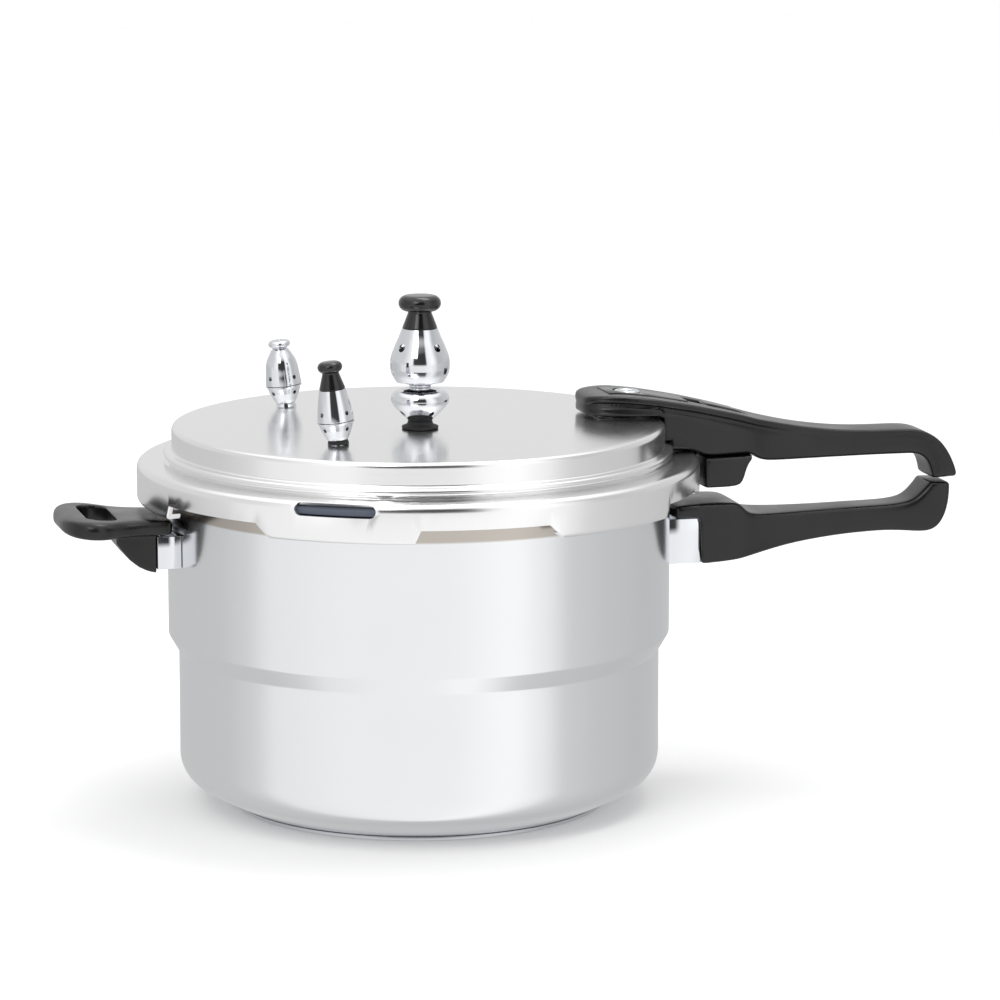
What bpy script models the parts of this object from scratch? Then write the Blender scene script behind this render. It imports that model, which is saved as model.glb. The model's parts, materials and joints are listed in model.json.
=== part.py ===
"""Pressure canner: an 11 litre stepped aluminium pot with a twist-lock lid.

Every size below is in millimetres, and the helpers turn millimetres into
metres as they make a mesh. The frame is the pot's own: the origin is the
centre of the base, +Z is up and +X points along the two long handles.
"""
import math

import bmesh
import bpy
from mathutils import Matrix, Vector

MM = 0.001
GAP = 0.3            # left between two pieces that touch
TURN_STEPS = 40      # sides of the big turned pieces
SMALL_STEPS = 16     # sides of the fittings

# Pot
POT_R = 143.0        # outside of the upper wall
STEP_IN = 5.8        # how far the lower wall is set in
POT_WALL = 3.0
FLOOR = 4.0
PLATE_THICK = 2.2    # magnetic plate under the base
BASE_INSET = 29.9    # base edge inside the lower wall
HEEL_FILLET = 19.0
STEP_Z = 89.0
STEP_RISE = 10.0
RIM_Z = 190.2
LUG_COUNT = 6
LUG_REACH = 11.5     # pot lugs past the wall
FLANGE_REACH = 7.3   # rim between the lugs
LUG_DROP = 9.7       # turned-down edge of a pot lug
POT_LUG_DEG = 30.0

# Lid
SHEET = 3.0
LID_INSET = 2.8      # lid wall inside the pot wall
SKIRT_REACH = 17.0
GASKET_THICK = 4.2
LID_RISE = 19.5      # crown edge above the shoulder
DOME = 1.8
CROWN_FILLET = 3.0
SKIRT_FILLET = 4.5
SKIRT_DROP = 14.0    # shoulder to the skirt edge between the lugs
LID_LUG_DROP = 22.0  # shoulder to the underside of a lid lug
LIP_THICK = 2.8
LIP_REACH = 8.5
LID_LUG_TOP_DEG = 34.0
LID_LUG_LOW_DEG = 26.5
WINDOW_DEG = 16.5
WINDOW_HEIGHT = 7.2
WINDOW_AZIMUTH = -120.0

# Pressure regulator on the vent pipe
REGULATOR_AT = (-6.3, -30.4)
PIPE_R = 5.0
PIPE_TIP_R = 3.6
PIPE_BORE_R = 1.5
CUP_R = 16.5
WEIGHT_R = 16.75
WEIGHT_Z = 26.6      # underside of the weight above the lid
WEIGHT_HEIGHT = 30.1
KNOB_R = 11.5
RUN = 0.6            # radial room between a moving piece and its guide

# Side valves
VALVE_AT = (-62.0, 69.5)
VALVE_LEAN = 6.0     # degrees, away from the long handle
VALVE_SEAT_Z = 13.6  # seam between the two valve shells
VALVE_R = 10.25
VALVE_STEM_R = 4.2
VALVE_WALL = 1.1
RELIEF_CAP_TOP = 31.0
SAFETY_CAP_TOP = 34.0
PLUNGER_R = 2.0
SPRING_WIRE_R = 0.45
SPRING_COIL_R = 3.6
SPRING_TURNS = 5

# Handles
BRACKET_SHEET = 2.0
BRACKET_HALF = 22.0
BRACKET_LENGTH = 18.0
BRACKET_HEIGHT = 25.8
HELPER_BRACKET_LENGTH = 12.0
HELPER_BRACKET_HEIGHT = 18.5
HANDLE_LIFT = 28.5   # lower handle's lip under the shoulder of the lid
FINGER_SLOT_OUT = 42.8  # helper handle's slot, past the pot wall
FINGER_SLOT_HALF = 17.0
FINGER_SLOT_R = 8.5
TONGUE_HALF = 12.0
TONGUE_LENGTH = 25.0
STRIP_HALF = 15.0    # steel strip that carries the lid handle
STRIP_INSET = 41.0   # strip's inner end, inside the pot wall
STRIP_RIVET_AT = 8.0 # rivets, from the strip's inner end
STRIP_REACH = 30.0   # strip's outer end, past the skirt
HANDLE_UNDER = 23.1  # underside of the lid handle's root below the crown
POT_HANDLE_UNDER = 26.4
HANDLE_SCREW_OUT = 20.0   # screws of the lid handle, past the skirt
INLAY_SPAN = (-34.0, 13.0)
INLAY_HALF = 13.0
INLAY_DEPTH = 1.4
BUTTON_HALF = 8.0
BUTTON_SPAN = (8.0, 33.0)   # past the skirt
BUTTON_STEM_SPAN = (9.5, 18.5)
BUTTON_DEPTH = 2.8   # button under the handle's top at its outer end
SCREW_R = 2.0
SCREW_HEAD_R = 4.0
RIVET_R = 2.4
RIVET_HEAD_R = 4.6
RIVET_SPREAD = 10.0
RIVET_SLACK = 0.9    # room under a flat rivet head on the curved wall
LOCK_TRAVEL = 9.0
BOLT_HALF = 3.5
BOLT_THICK = 2.6
FLOAT_INSET = 20.3   # float valve inside the pot wall
FLOAT_R = 2.2
FLOAT_SEAL_R = 4.4
FLOAT_BUSH_R = 5.2
FLOAT_FLANGE_R = 7.2
BEZEL_R = 7.7
FLOAT_TRAVEL = 3.2
TRAY_SHEET = 1.2
TRAY_HOLE_R = 4.0

# Sizes that follow from the ones above
LOW_R = POT_R - STEP_IN
BASE_R = LOW_R - BASE_INSET
BASE_Z = PLATE_THICK + GAP
FLOOR_Z = BASE_Z + FLOOR
LUG_R = POT_R + LUG_REACH
FLANGE_R = POT_R + FLANGE_REACH
LUG_LOW_Z = RIM_Z - LUG_DROP
LUG_PITCH = 360.0 / LUG_COUNT
LID_R = POT_R - LID_INSET
SKIRT_R = POT_R + SKIRT_REACH
SHOULDER_Z = RIM_Z + GASKET_THICK + 2 * GAP + SHEET
CROWN_Z = SHOULDER_Z + LID_RISE
CROWN_R = LID_R - CROWN_FILLET
SKIRT_Z = SHOULDER_Z - SKIRT_DROP
LID_LUG_Z = SHOULDER_Z - LID_LUG_DROP
BEAD_R = LID_R + 4.6
WINDOW_Z = SHOULDER_Z - 4.1
LIP_Z = SHOULDER_Z - HANDLE_LIFT - 10.9
FLOAT_X = POT_R - FLOAT_INSET
STRIP_Z = CROWN_Z + DOME * 0.45 + GAP
STRIP_LEG_X = BEAD_R + 1.4
FOOT_Z = SHOULDER_Z + GAP
BOLT_Z = SHOULDER_Z - 14.1
LEG_X = SKIRT_R + LOCK_TRAVEL + 1.0
STRIP_START = POT_R - STRIP_INSET
STRIP_END = SKIRT_R + STRIP_REACH


def lid_top(radius):
    """Height of the domed top of the lid at a distance from its centre."""
    return CROWN_Z + DOME * (1.0 - (radius / CROWN_R) ** 2)


def arc(centre, radius, start, end, count):
    """Points on an arc in the (radius, height) plane, in degrees."""
    points = []
    for step in range(count + 1):
        angle = math.radians(start + (end - start) * step / count)
        points.append((centre[0] + radius * math.cos(angle), centre[1] + radius * math.sin(angle)))
    return points


# Scene, collections and materials

for old in list(bpy.data.objects):
    bpy.data.objects.remove(old)


def new_collection(name):
    """Makes a collection and links it to the scene."""
    collection = bpy.data.collections.new(name)
    bpy.context.scene.collection.children.link(collection)
    return collection


PARTS = new_collection("pressure_canner")
CUTTERS = new_collection("cutters")


def finish(name, color, metallic, roughness):
    """Makes one Principled material."""
    material = bpy.data.materials.new(name)
    material.use_nodes = True
    shader = material.node_tree.nodes["Principled BSDF"]
    shader.inputs["Base Color"].default_value = (*color, 1.0)
    shader.inputs["Metallic"].default_value = metallic
    shader.inputs["Roughness"].default_value = roughness
    return material


FINISHES = {
    "aluminium": ((0.80, 0.80, 0.81), 1.0, 0.16),
    "chrome": ((0.78, 0.78, 0.80), 1.0, 0.07),
    "steel": ((0.62, 0.62, 0.63), 1.0, 0.28),
    "bakelite": ((0.018, 0.018, 0.019), 0.0, 0.32),
    "silicone": ((0.23, 0.25, 0.30), 0.0, 0.55),
    "black_rubber": ((0.02, 0.02, 0.02), 0.0, 0.60),
}


def dress(obj, kind):
    """Gives an object a material of its own in one of the finishes."""
    obj.data.materials.append(finish(f"{obj.name}_{kind}", *FINISHES[kind]))


def place(name, mesh, collection):
    """Links a new object that holds the mesh."""
    obj = bpy.data.objects.new(name, mesh)
    collection.objects.link(obj)
    return obj


def hide_cutter(obj):
    """Marks an object as a cutter."""
    obj.display_type = "WIRE"
    obj.hide_render = True


# Makers of shapes

def from_bmesh(name, bm, kind, matrix=None):
    """Turns a bmesh in millimetres into a part, or into a cutter when kind is None."""
    bmesh.ops.scale(bm, vec=(MM, MM, MM), verts=bm.verts)
    mesh = bpy.data.meshes.new(name)
    bm.to_mesh(mesh)
    bm.free()
    obj = place(name, mesh, PARTS if kind else CUTTERS)
    if matrix is not None:
        shift = Matrix.Translation(matrix.translation * MM)
        obj.matrix_world = shift @ matrix.to_3x3().to_4x4()
    if kind:
        dress(obj, kind)
    else:
        hide_cutter(obj)
    return obj


def turned(name, profile, kind, ring=False, steps=SMALL_STEPS, matrix=None):
    """Turns a profile about Z; ring closes a profile that stays off the axis."""
    bm = bmesh.new()
    verts = [bm.verts.new((radius, 0.0, height)) for radius, height in profile]
    for first, second in zip(verts, verts[1:]):
        bm.edges.new((first, second))
    if ring:
        bm.edges.new((verts[-1], verts[0]))
    obj = from_bmesh(name, bm, kind, matrix)
    screw = obj.modifiers.new("Turn", "SCREW")
    screw.steps = steps
    screw.render_steps = steps
    screw.use_merge_vertices = True
    screw.merge_threshold = 0.00001
    return obj


def rod(name, radius, low, high, kind, matrix=None, steps=SMALL_STEPS, top_radius=None):
    """A cylinder or cone along the local Z axis."""
    bm = bmesh.new()
    bmesh.ops.create_cone(
        bm, cap_ends=True, segments=steps, radius1=radius,
        radius2=radius if top_radius is None else top_radius, depth=high - low,
    )
    bmesh.ops.translate(bm, vec=(0.0, 0.0, (low + high) / 2), verts=bm.verts)
    return from_bmesh(name, bm, kind, matrix)


def block(name, low, high, kind, matrix=None):
    """A box between two corners."""
    bm = bmesh.new()
    bmesh.ops.create_cube(bm, size=1.0)
    size = [b - a for a, b in zip(low, high)]
    middle = [(a + b) / 2 for a, b in zip(low, high)]
    bmesh.ops.scale(bm, vec=size, verts=bm.verts)
    bmesh.ops.translate(bm, vec=middle, verts=bm.verts)
    return from_bmesh(name, bm, kind, matrix)


def loft(name, rings, kind, matrix=None):
    """Skins closed rings of equal length and caps both ends."""
    bm = bmesh.new()
    skins = [[bm.verts.new(point) for point in ring] for ring in rings]
    for first, second in zip(skins, skins[1:]):
        for index in range(len(first)):
            after = (index + 1) % len(first)
            bm.faces.new((first[index], first[after], second[after], second[index]))
    bm.faces.new(list(reversed(skins[0])))
    bm.faces.new(skins[-1])
    bmesh.ops.recalc_face_normals(bm, faces=bm.faces)
    return from_bmesh(name, bm, kind, matrix)


def slab(name, outline, half_width, kind, matrix=None):
    """Stretches a side outline of (x, z) points to both sides of Y = 0."""
    near = [(x, -half_width, z) for x, z in outline]
    far = [(x, half_width, z) for x, z in outline]
    return loft(name, [near, far], kind, matrix)


def section(top, bottom, half_width, radius):
    """A rounded rectangle between a top and a bottom point of the side view."""
    top = Vector((top[0], 0.0, top[1]))
    bottom = Vector((bottom[0], 0.0, bottom[1]))
    middle = (top + bottom) / 2
    up = (top - bottom).normalized()
    half_height = (top - bottom).length / 2
    radius = min(radius, half_height * 0.9, half_width * 0.9)
    points = []
    for corner, (side, level) in enumerate(((1, 1), (-1, 1), (-1, -1), (1, -1))):
        for y, height in arc((0.0, 0.0), radius, 90 * corner, 90 * corner + 90, 2):
            across = side * (half_width - radius) + y
            lift = level * (half_height - radius) + height
            points.append(middle + up * lift + Vector((0.0, across, 0.0)))
    return points


def sector(name, inner, outer, low, high, kind=None, steps=6, centre=0.0):
    """A curved block; low and high are (height, half angle), and centre is its azimuth."""
    rings = []
    for step in range(steps + 1):
        share = 2.0 * step / steps - 1.0
        ring = []
        for radius, (height, half) in ((inner, low), (outer, low), (outer, high), (inner, high)):
            angle = math.radians(centre + half * share)
            ring.append((radius * math.cos(angle), radius * math.sin(angle), height))
        rings.append(ring)
    return loft(name, rings, kind)


def cut(obj, cutter):
    """Takes the cutter out of the object."""
    modifier = obj.modifiers.new("Cut " + cutter.name, "BOOLEAN")
    modifier.operation = "DIFFERENCE"
    modifier.object = cutter


def join(obj, other):
    """Adds a guide shape to the object."""
    modifier = obj.modifiers.new("Join " + other.name, "BOOLEAN")
    modifier.operation = "UNION"
    modifier.object = other


def along_x(x, y, z):
    """A frame at a point whose local Z runs along +X."""
    return Matrix.Translation((x, y, z)) @ Matrix.Rotation(math.radians(90), 4, "Y")


def upright(x, y, z):
    """A frame at a point whose local Z stays upright."""
    return Matrix.Translation((x, y, z))


def side_holes(obj, radius, height, reach, matrix, turn, name):
    """Bores four holes through the wall of a turned shell."""
    bm = bmesh.new()
    for quarter in range(4):
        angle = math.radians(turn + 90 * quarter)
        spin = Matrix.Rotation(angle, 4, "Z") @ Matrix.Rotation(math.radians(90), 4, "Y")
        middle = Matrix.Translation((0.0, 0.0, height)) @ spin @ Matrix.Translation((0.0, 0.0, reach))
        bmesh.ops.create_cone(
            bm, cap_ends=True, segments=6, radius1=radius, radius2=radius,
            depth=reach, matrix=middle,
        )
    cut(obj, from_bmesh(name, bm, None, matrix))


# Pot

def heel(inset):
    """Arc of the heel from the wall down to the base edge; inset moves it inside the outer face."""
    centre = (LOW_R - HEEL_FILLET, BASE_Z + HEEL_FILLET + 7.8)
    across = centre[0] - BASE_R
    rise = centre[1] - BASE_Z
    lean = math.degrees(math.atan2(rise, across))
    tangent = lean - math.degrees(math.asin(HEEL_FILLET / math.hypot(across, rise)))
    return arc(centre, HEEL_FILLET - inset, 0.0, tangent - 90.0, 6)


def make_pot():
    """Stepped pot with its flanged rim and bayonet lugs."""
    inner_r = POT_R - POT_WALL
    low_inner = LOW_R - POT_WALL
    inner_heel = list(reversed(heel(POT_WALL)))
    profile = [(0.0, FLOOR_Z), (inner_heel[0][0] - 12.0, FLOOR_Z)]
    profile += inner_heel
    profile += [
        (low_inner, STEP_Z + 2.0),
        (inner_r, STEP_Z + STEP_RISE + 2.0),
        (inner_r, RIM_Z - 1.0),
        (inner_r + 1.0, RIM_Z),
        (LUG_R - 1.5, RIM_Z),
        (LUG_R, RIM_Z - 1.5),
        (LUG_R, LUG_LOW_Z),
        (LUG_R - SHEET, LUG_LOW_Z),
        (LUG_R - SHEET, RIM_Z - SHEET),
        (POT_R + 1.5, RIM_Z - SHEET),
        (POT_R, RIM_Z - SHEET - 1.5),
        (POT_R, STEP_Z + STEP_RISE),
        (LOW_R, STEP_Z),
    ]
    profile += heel(0.0)
    profile += [(BASE_R, BASE_Z), (0.0, BASE_Z)]
    pot = turned("pot_body", profile, "aluminium", steps=TURN_STEPS)
    half_gap = (LUG_PITCH - POT_LUG_DEG) / 2
    for index in range(LUG_COUNT):
        gap = sector(
            f"cut_pot_gap_{index}", FLANGE_R, LUG_R + 2.0, (LUG_LOW_Z - 2.0, half_gap),
            (RIM_Z + 2.0, half_gap), centre=LUG_PITCH * (index + 0.5),
        )
        cut(pot, gap)
    notch = block(
        "cut_pot_notch", (LUG_R - SHEET - 0.6, -BOLT_HALF - 1.0, LUG_LOW_Z - 1.0),
        (LUG_R + 1.0, BOLT_HALF + 1.0, RIM_Z - SHEET), None,
    )
    cut(pot, notch)
    turned(
        "induction_plate",
        [(0.0, PLATE_THICK), (BASE_R - 0.8, PLATE_THICK), (BASE_R, PLATE_THICK - 0.8), (BASE_R, 0.8),
         (BASE_R - 0.8, 0.0), (0.0, 0.0)],
        "steel", steps=TURN_STEPS,
    )
    return pot


def make_tray():
    """Perforated rack that rests on the ledge inside the pot."""
    slope = STEP_IN / STEP_RISE
    low_inner = LOW_R - POT_WALL
    radius = low_inner + STEP_IN * 0.5
    level = STEP_Z + 2.0 + (radius - low_inner) / slope + GAP * 2.5
    tray = turned(
        "steam_tray",
        [(0.0, level + TRAY_SHEET), (radius, level + TRAY_SHEET), (radius, level), (0.0, level)],
        "aluminium", steps=TURN_STEPS,
    )
    bm = bmesh.new()
    for ring, count in ((0.30, 6), (0.72, 12)):
        for index in range(count):
            angle = 2 * math.pi * index / count
            across = radius * ring
            spot = Matrix.Translation((across * math.cos(angle), across * math.sin(angle), level))
            bmesh.ops.create_cone(
                bm, cap_ends=True, segments=6, radius1=TRAY_HOLE_R, radius2=TRAY_HOLE_R,
                depth=6 * TRAY_SHEET, matrix=spot,
            )
    cut(tray, from_bmesh("cut_tray_holes", bm, None))


def make_rivet(name, matrix, grip, head, kind="aluminium"):
    """A rivet through a grip that starts at local 0; both heads stand GAP off the sheets."""
    turned(
        name,
        [(0.0, grip + GAP + head), (RIVET_HEAD_R * 0.6, grip + GAP + head * 0.8),
         (RIVET_HEAD_R, grip + GAP), (RIVET_R, grip + GAP), (RIVET_R, -GAP),
         (RIVET_HEAD_R, -GAP), (RIVET_HEAD_R * 0.6, -GAP - head * 0.8), (0.0, -GAP - head)],
        kind, steps=8, matrix=matrix,
    )


def make_wall_bracket(name, pot, side, length, low, height, tongue):
    """A steel tube bracket riveted to the pot wall; side is +1 towards the long handle."""
    outer = POT_R + length
    wall = rod(f"cut_{name}_wall", POT_R + GAP, low - 5, low + height + 5, None, steps=TURN_STEPS)
    keep = rod(
        f"guide_{name}_seat", POT_R + GAP + BRACKET_SHEET, low - 6, low + height + 6, None,
        steps=TURN_STEPS,
    )
    xs = sorted((side * (POT_R - 8.0), side * outer))
    bracket = block(
        name, (xs[0], -BRACKET_HALF, low), (xs[1], BRACKET_HALF, low + height), "chrome",
    )
    inner_half = BRACKET_HALF - BRACKET_SHEET
    inner_xs = sorted((side * (POT_R - 12.0), side * (outer - BRACKET_SHEET)))
    hollow = block(
        f"cut_{name}_hollow", (inner_xs[0], -inner_half, low - 3),
        (inner_xs[1], inner_half, low + height + 3), None,
    )
    cut(hollow, keep)
    cut(bracket, wall)
    cut(bracket, hollow)
    if tongue:
        middle = low + height / 2
        plate = block(
            f"guide_{name}_tongue", (outer - BRACKET_SHEET / 2, -TONGUE_HALF, middle),
            (outer + tongue, TONGUE_HALF, middle + BRACKET_SHEET), None,
        )
        join(bracket, plate)
    level = low + height * 0.5 - (5.0 if tongue else 0.0)
    for index, y in enumerate((-RIVET_SPREAD, RIVET_SPREAD)):
        face = math.sqrt(POT_R ** 2 - y ** 2)
        frame = along_x(side * face, y, level)
        if side < 0:
            frame = along_x(side * face, y, level) @ Matrix.Rotation(math.pi, 4, "X")
        tunnel = rod(
            f"cut_{name}_rivet_{index}", RIVET_R + GAP, -POT_WALL - 3, BRACKET_SHEET + 3, None,
            frame, steps=12,
        )
        cut(pot, tunnel)
        cut(bracket, tunnel)
        shift = frame @ Matrix.Translation((0.0, 0.0, -POT_WALL - RIVET_SLACK))
        grip = POT_WALL + GAP + BRACKET_SHEET + RIVET_SLACK + 0.5
        make_rivet(f"{name}_rivet_{index + 1}", shift, grip, 1.6)
    return bracket


# Lower long handle and helper handle

POT_HANDLE = (
    # top (x, z), bottom (x, z), half width, corner radius; x from the bracket end, z from the lip
    ((-16.4, 7.0), (-16.4, 0.3), 24.0, 2.0),
    ((-12.0, 8.2), (-12.0, 0.3), 24.5, 2.5),
    ((0.3, 8.5), (0.3, 0.3), 24.5, 2.5),
    ((0.4, 8.5), (0.4, -26.7), 24.0, 4.0),
    ((12.0, 8.6), (12.0, -26.6), 23.6, 4.0),
    ((23.0, 8.4), (23.0, -25.8), 22.6, 4.0),
    ((27.0, 5.6), (26.5, -25.2), 22.0, 4.0),
    ((31.0, 2.0), (31.0, -24.4), 21.0, 4.0),
    ((39.0, 0.2), (39.0, -22.8), 19.0, 4.0),
    ((51.0, 0.1), (51.0, -20.3), 16.3, 4.0),
    ((67.0, 0.3), (67.0, -17.9), 14.2, 4.0),
    ((84.0, 0.7), (84.0, -16.0), 13.2, 4.0),
    ((101.0, 1.1), (101.0, -14.9), 12.7, 4.0),
    ((121.0, 1.4), (121.0, -14.5), 12.7, 4.0),
    ((130.0, 2.6), (135.0, -16.0), 13.0, 4.0),
    ((134.5, 4.9), (144.2, -16.3), 13.4, 4.0),
    ((138.0, 8.2), (149.9, -12.6), 13.8, 4.0),
    ((140.5, 10.8), (153.6, -5.4), 14.2, 4.0),
    ((142.0, 12.6), (155.4, 3.6), 14.5, 4.0),
    ((143.0, 13.6), (155.2, 13.4), 14.5, 3.0),
)

HELPER_LOOP = (
    # x from POT_R, z from the bracket top
    ((1.6, 8.9), (1.6, 0.6), 23.5, 2.5),
    ((8.0, 9.6), (8.0, 0.6), 24.5, 3.0),
    ((16.0, 10.0), (16.0, 0.6), 25.5, 4.0),
    ((25.0, 10.4), (25.0, 0.6), 26.8, 4.6),
    ((33.0, 10.9), (33.0, 0.8), 30.5, 5.0),
    ((38.6, 11.4), (38.6, 1.0), 35.0, 5.2),
    ((44.2, 11.9), (44.2, 1.2), 38.0, 5.4),
    ((49.8, 12.3), (49.8, 1.5), 38.4, 5.5),
    ((55.4, 12.5), (55.4, 1.9), 36.0, 5.4),
    ((59.8, 12.3), (59.8, 2.4), 31.0, 5.0),
    ((63.2, 11.4), (63.2, 3.4), 23.5, 4.0),
    ((65.4, 9.6), (65.4, 5.2), 13.0, 2.2),
)

HELPER_GUSSET = (
    # x from the bracket end, z from the bracket top
    ((0.4, 3.0), (0.4, -21.0), 20.5, 2.0),
    ((5.0, 3.0), (5.0, -19.8), 20.3, 2.0),
    ((10.0, 3.0), (10.0, -17.4), 19.8, 2.0),
    ((15.0, 3.2), (15.0, -13.4), 19.0, 2.0),
    ((19.5, 3.4), (19.5, -8.0), 18.2, 2.0),
    ((23.0, 3.6), (23.0, -3.2), 17.4, 2.0),
    ((26.5, 4.0), (26.5, 2.2), 16.5, 0.7),
)


def handle_rings(table, side, start, level):
    """Rings of a handle table, placed from a starting distance and a reference height."""
    rings = []
    for top, bottom, half_width, radius in table:
        top_at = (start + top[0], level + top[1])
        bottom_at = (start + bottom[0], level + bottom[1])
        ring = section(top_at, bottom_at, half_width, radius)
        rings.append([Vector((side * point.x, point.y, point.z)) for point in ring])
    return rings


def make_screw(name, matrix, length, head_radius=SCREW_HEAD_R, head=2.2):
    """A pan-head screw that points along local +Z, its head below local 0."""
    turned(
        name,
        [(0.0, length), (SCREW_R * 0.6, length), (SCREW_R, length - 1.0), (SCREW_R, 0.0),
         (head_radius, 0.0), (head_radius, -head * 0.6), (head_radius * 0.75, -head), (0.0, -head)],
        "steel", steps=10, matrix=matrix,
    )


def make_pot_handle(pot):
    """Lower long handle on its bracket."""
    low = LIP_Z - BRACKET_HEIGHT
    tongue = TONGUE_LENGTH
    bracket = make_wall_bracket("pot_bracket", pot, 1, BRACKET_LENGTH, low, BRACKET_HEIGHT, tongue)
    handle = loft("pot_handle", handle_rings(POT_HANDLE, 1, POT_R + BRACKET_LENGTH, LIP_Z), "bakelite")
    middle = low + BRACKET_HEIGHT / 2
    outer = POT_R + BRACKET_LENGTH
    slot = block(
        "cut_pot_handle_slot", (outer - 1.0, -TONGUE_HALF - GAP, middle - GAP),
        (outer + tongue + GAP, TONGUE_HALF + GAP, middle + BRACKET_SHEET + GAP), None,
    )
    cut(handle, slot)
    screw_x = outer + tongue * 0.6
    screw_z = LIP_Z - POT_HANDLE_UNDER + 3.0
    tunnel = rod(
        "cut_pot_handle_screw", SCREW_R + GAP, screw_z - 5, screw_z + 21.0 + GAP, None,
        upright(screw_x, 0, 0), steps=14,
    )
    pocket = rod(
        "cut_pot_handle_pocket", SCREW_HEAD_R + GAP, screw_z - 8, screw_z + GAP, None,
        upright(screw_x, 0, 0), steps=16,
    )
    cut(handle, tunnel)
    cut(handle, pocket)
    cut(bracket, tunnel)
    make_screw("pot_handle_screw", upright(screw_x, 0, screw_z), 21.0)


def make_helper_handle(pot):
    """Short loop handle on the other side of the pot."""
    top = LIP_Z + 3.7
    low = top - HELPER_BRACKET_HEIGHT
    bracket = make_wall_bracket(
        "helper_bracket", pot, -1, HELPER_BRACKET_LENGTH, low, HELPER_BRACKET_HEIGHT, 0,
    )
    outer = POT_R + HELPER_BRACKET_LENGTH
    handle = loft("helper_handle", handle_rings(HELPER_LOOP, -1, POT_R, top), "bakelite")
    join(handle, loft("guide_helper_gusset", handle_rings(HELPER_GUSSET, -1, outer, top), None))
    rings = []
    slot_x = POT_R + FINGER_SLOT_OUT
    for height in (top - 4.0, top + 16.0):
        outline = arc((-slot_x, FINGER_SLOT_HALF), FINGER_SLOT_R, 0.0, 180.0, 6)
        outline += arc((-slot_x, -FINGER_SLOT_HALF), FINGER_SLOT_R, 180.0, 360.0, 6)
        rings.append([(x, y, height) for x, y in outline])
    cut(handle, loft("cut_helper_slot", rings, None))
    level = low + HELPER_BRACKET_HEIGHT * 0.5
    grip = 12.0
    frame = along_x(-(outer + grip + GAP * 2), 0, level)
    tunnel = rod("cut_helper_screw", SCREW_R + GAP, -0.5, grip + 10.0, None, frame, steps=14)
    pocket = rod("cut_helper_pocket", SCREW_HEAD_R + GAP, -16.0, GAP, None, frame, steps=16)
    cut(handle, tunnel)
    cut(handle, pocket)
    cut(bracket, tunnel)
    reach = grip + 3 * GAP + BRACKET_SHEET
    make_screw("helper_handle_screw", frame, reach + 4.0)
    make_nut("helper_handle_nut", frame @ Matrix.Translation((0, 0, reach + GAP)), SCREW_R, 3.6, 2.6)


def make_nut(name, matrix, bore, radius, thick):
    """A hexagon nut whose lower face is at local 0."""
    nut = rod(name, radius, 0.0, thick, "steel", matrix, steps=6)
    cut(nut, rod("cut_" + name, bore + GAP, -1.0, thick + 1.0, None, matrix, steps=14))


# Lid

def make_lid():
    """Pressed lid: crown, bead, shoulder, skirt, six curled lugs and the overpressure window."""
    inner_skirt = SKIRT_R - SHEET
    lip_r = SKIRT_R - LIP_REACH
    profile = [(CROWN_R * share, lid_top(CROWN_R * share)) for share in (0.0, 0.33, 0.66, 0.88)]
    profile += arc((CROWN_R, CROWN_Z - CROWN_FILLET), CROWN_FILLET, 90.0, 0.0, 3)
    profile += [(LID_R, SHOULDER_Z + 8.0), (LID_R + 0.9, SHOULDER_Z + 6.4)]
    profile += arc((LID_R + 2.6, SHOULDER_Z + 4.0), 2.0, 90.0, -90.0, 4)
    profile += [(LID_R + 1.5, SHOULDER_Z + 1.2), (LID_R + 3.2, SHOULDER_Z)]
    profile += arc((SKIRT_R - SKIRT_FILLET, SHOULDER_Z - SKIRT_FILLET), SKIRT_FILLET, 90.0, 0.0, 4)
    profile += arc((SKIRT_R - 2.5, LID_LUG_Z + 2.5), 2.5, 0.0, -90.0, 2)
    profile += [
        (lip_r, LID_LUG_Z),
        (lip_r, LID_LUG_Z + LIP_THICK),
        (inner_skirt, LID_LUG_Z + LIP_THICK),
        (inner_skirt, SHOULDER_Z - SKIRT_FILLET),
        (inner_skirt - 1.5, SHOULDER_Z - SHEET),
        (LID_R + 1.0, SHOULDER_Z - SHEET),
        (LID_R - SHEET, SHOULDER_Z),
        (LID_R - SHEET, CROWN_Z - SHEET - 0.6),
        (CROWN_R - 1.0, CROWN_Z - SHEET),
        (CROWN_R * 0.66, lid_top(CROWN_R * 0.66) - SHEET),
        (0.0, lid_top(0.0) - SHEET),
    ]
    lid = turned("lid_shell", profile, "aluminium", steps=TURN_STEPS)
    slope = (LID_LUG_TOP_DEG - LID_LUG_LOW_DEG) / 2 / (SKIRT_Z - LID_LUG_Z)
    half_top = (LUG_PITCH - LID_LUG_TOP_DEG) / 2
    drop = 6.0
    half_low = half_top + slope * (SKIRT_Z - LID_LUG_Z + drop)
    for index in range(LUG_COUNT):
        gap = sector(
            f"cut_lid_gap_{index}", lip_r - 4.0, SKIRT_R + 4.0, (LID_LUG_Z - drop, half_low),
            (SKIRT_Z, half_top), centre=LUG_PITCH * (index + 0.5),
        )
        cut(lid, gap)
    cut(lid, window_cutter())
    hole = block(
        "cut_lid_bolt_hole", (SKIRT_R - SHEET - 2.0, -BOLT_HALF - 1.0, BOLT_Z - 0.8),
        (SKIRT_R + 2.0, BOLT_HALF + 1.0, BOLT_Z + BOLT_THICK + 0.8), None,
    )
    cut(lid, hole)
    make_gasket(inner_skirt)
    return lid


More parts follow.
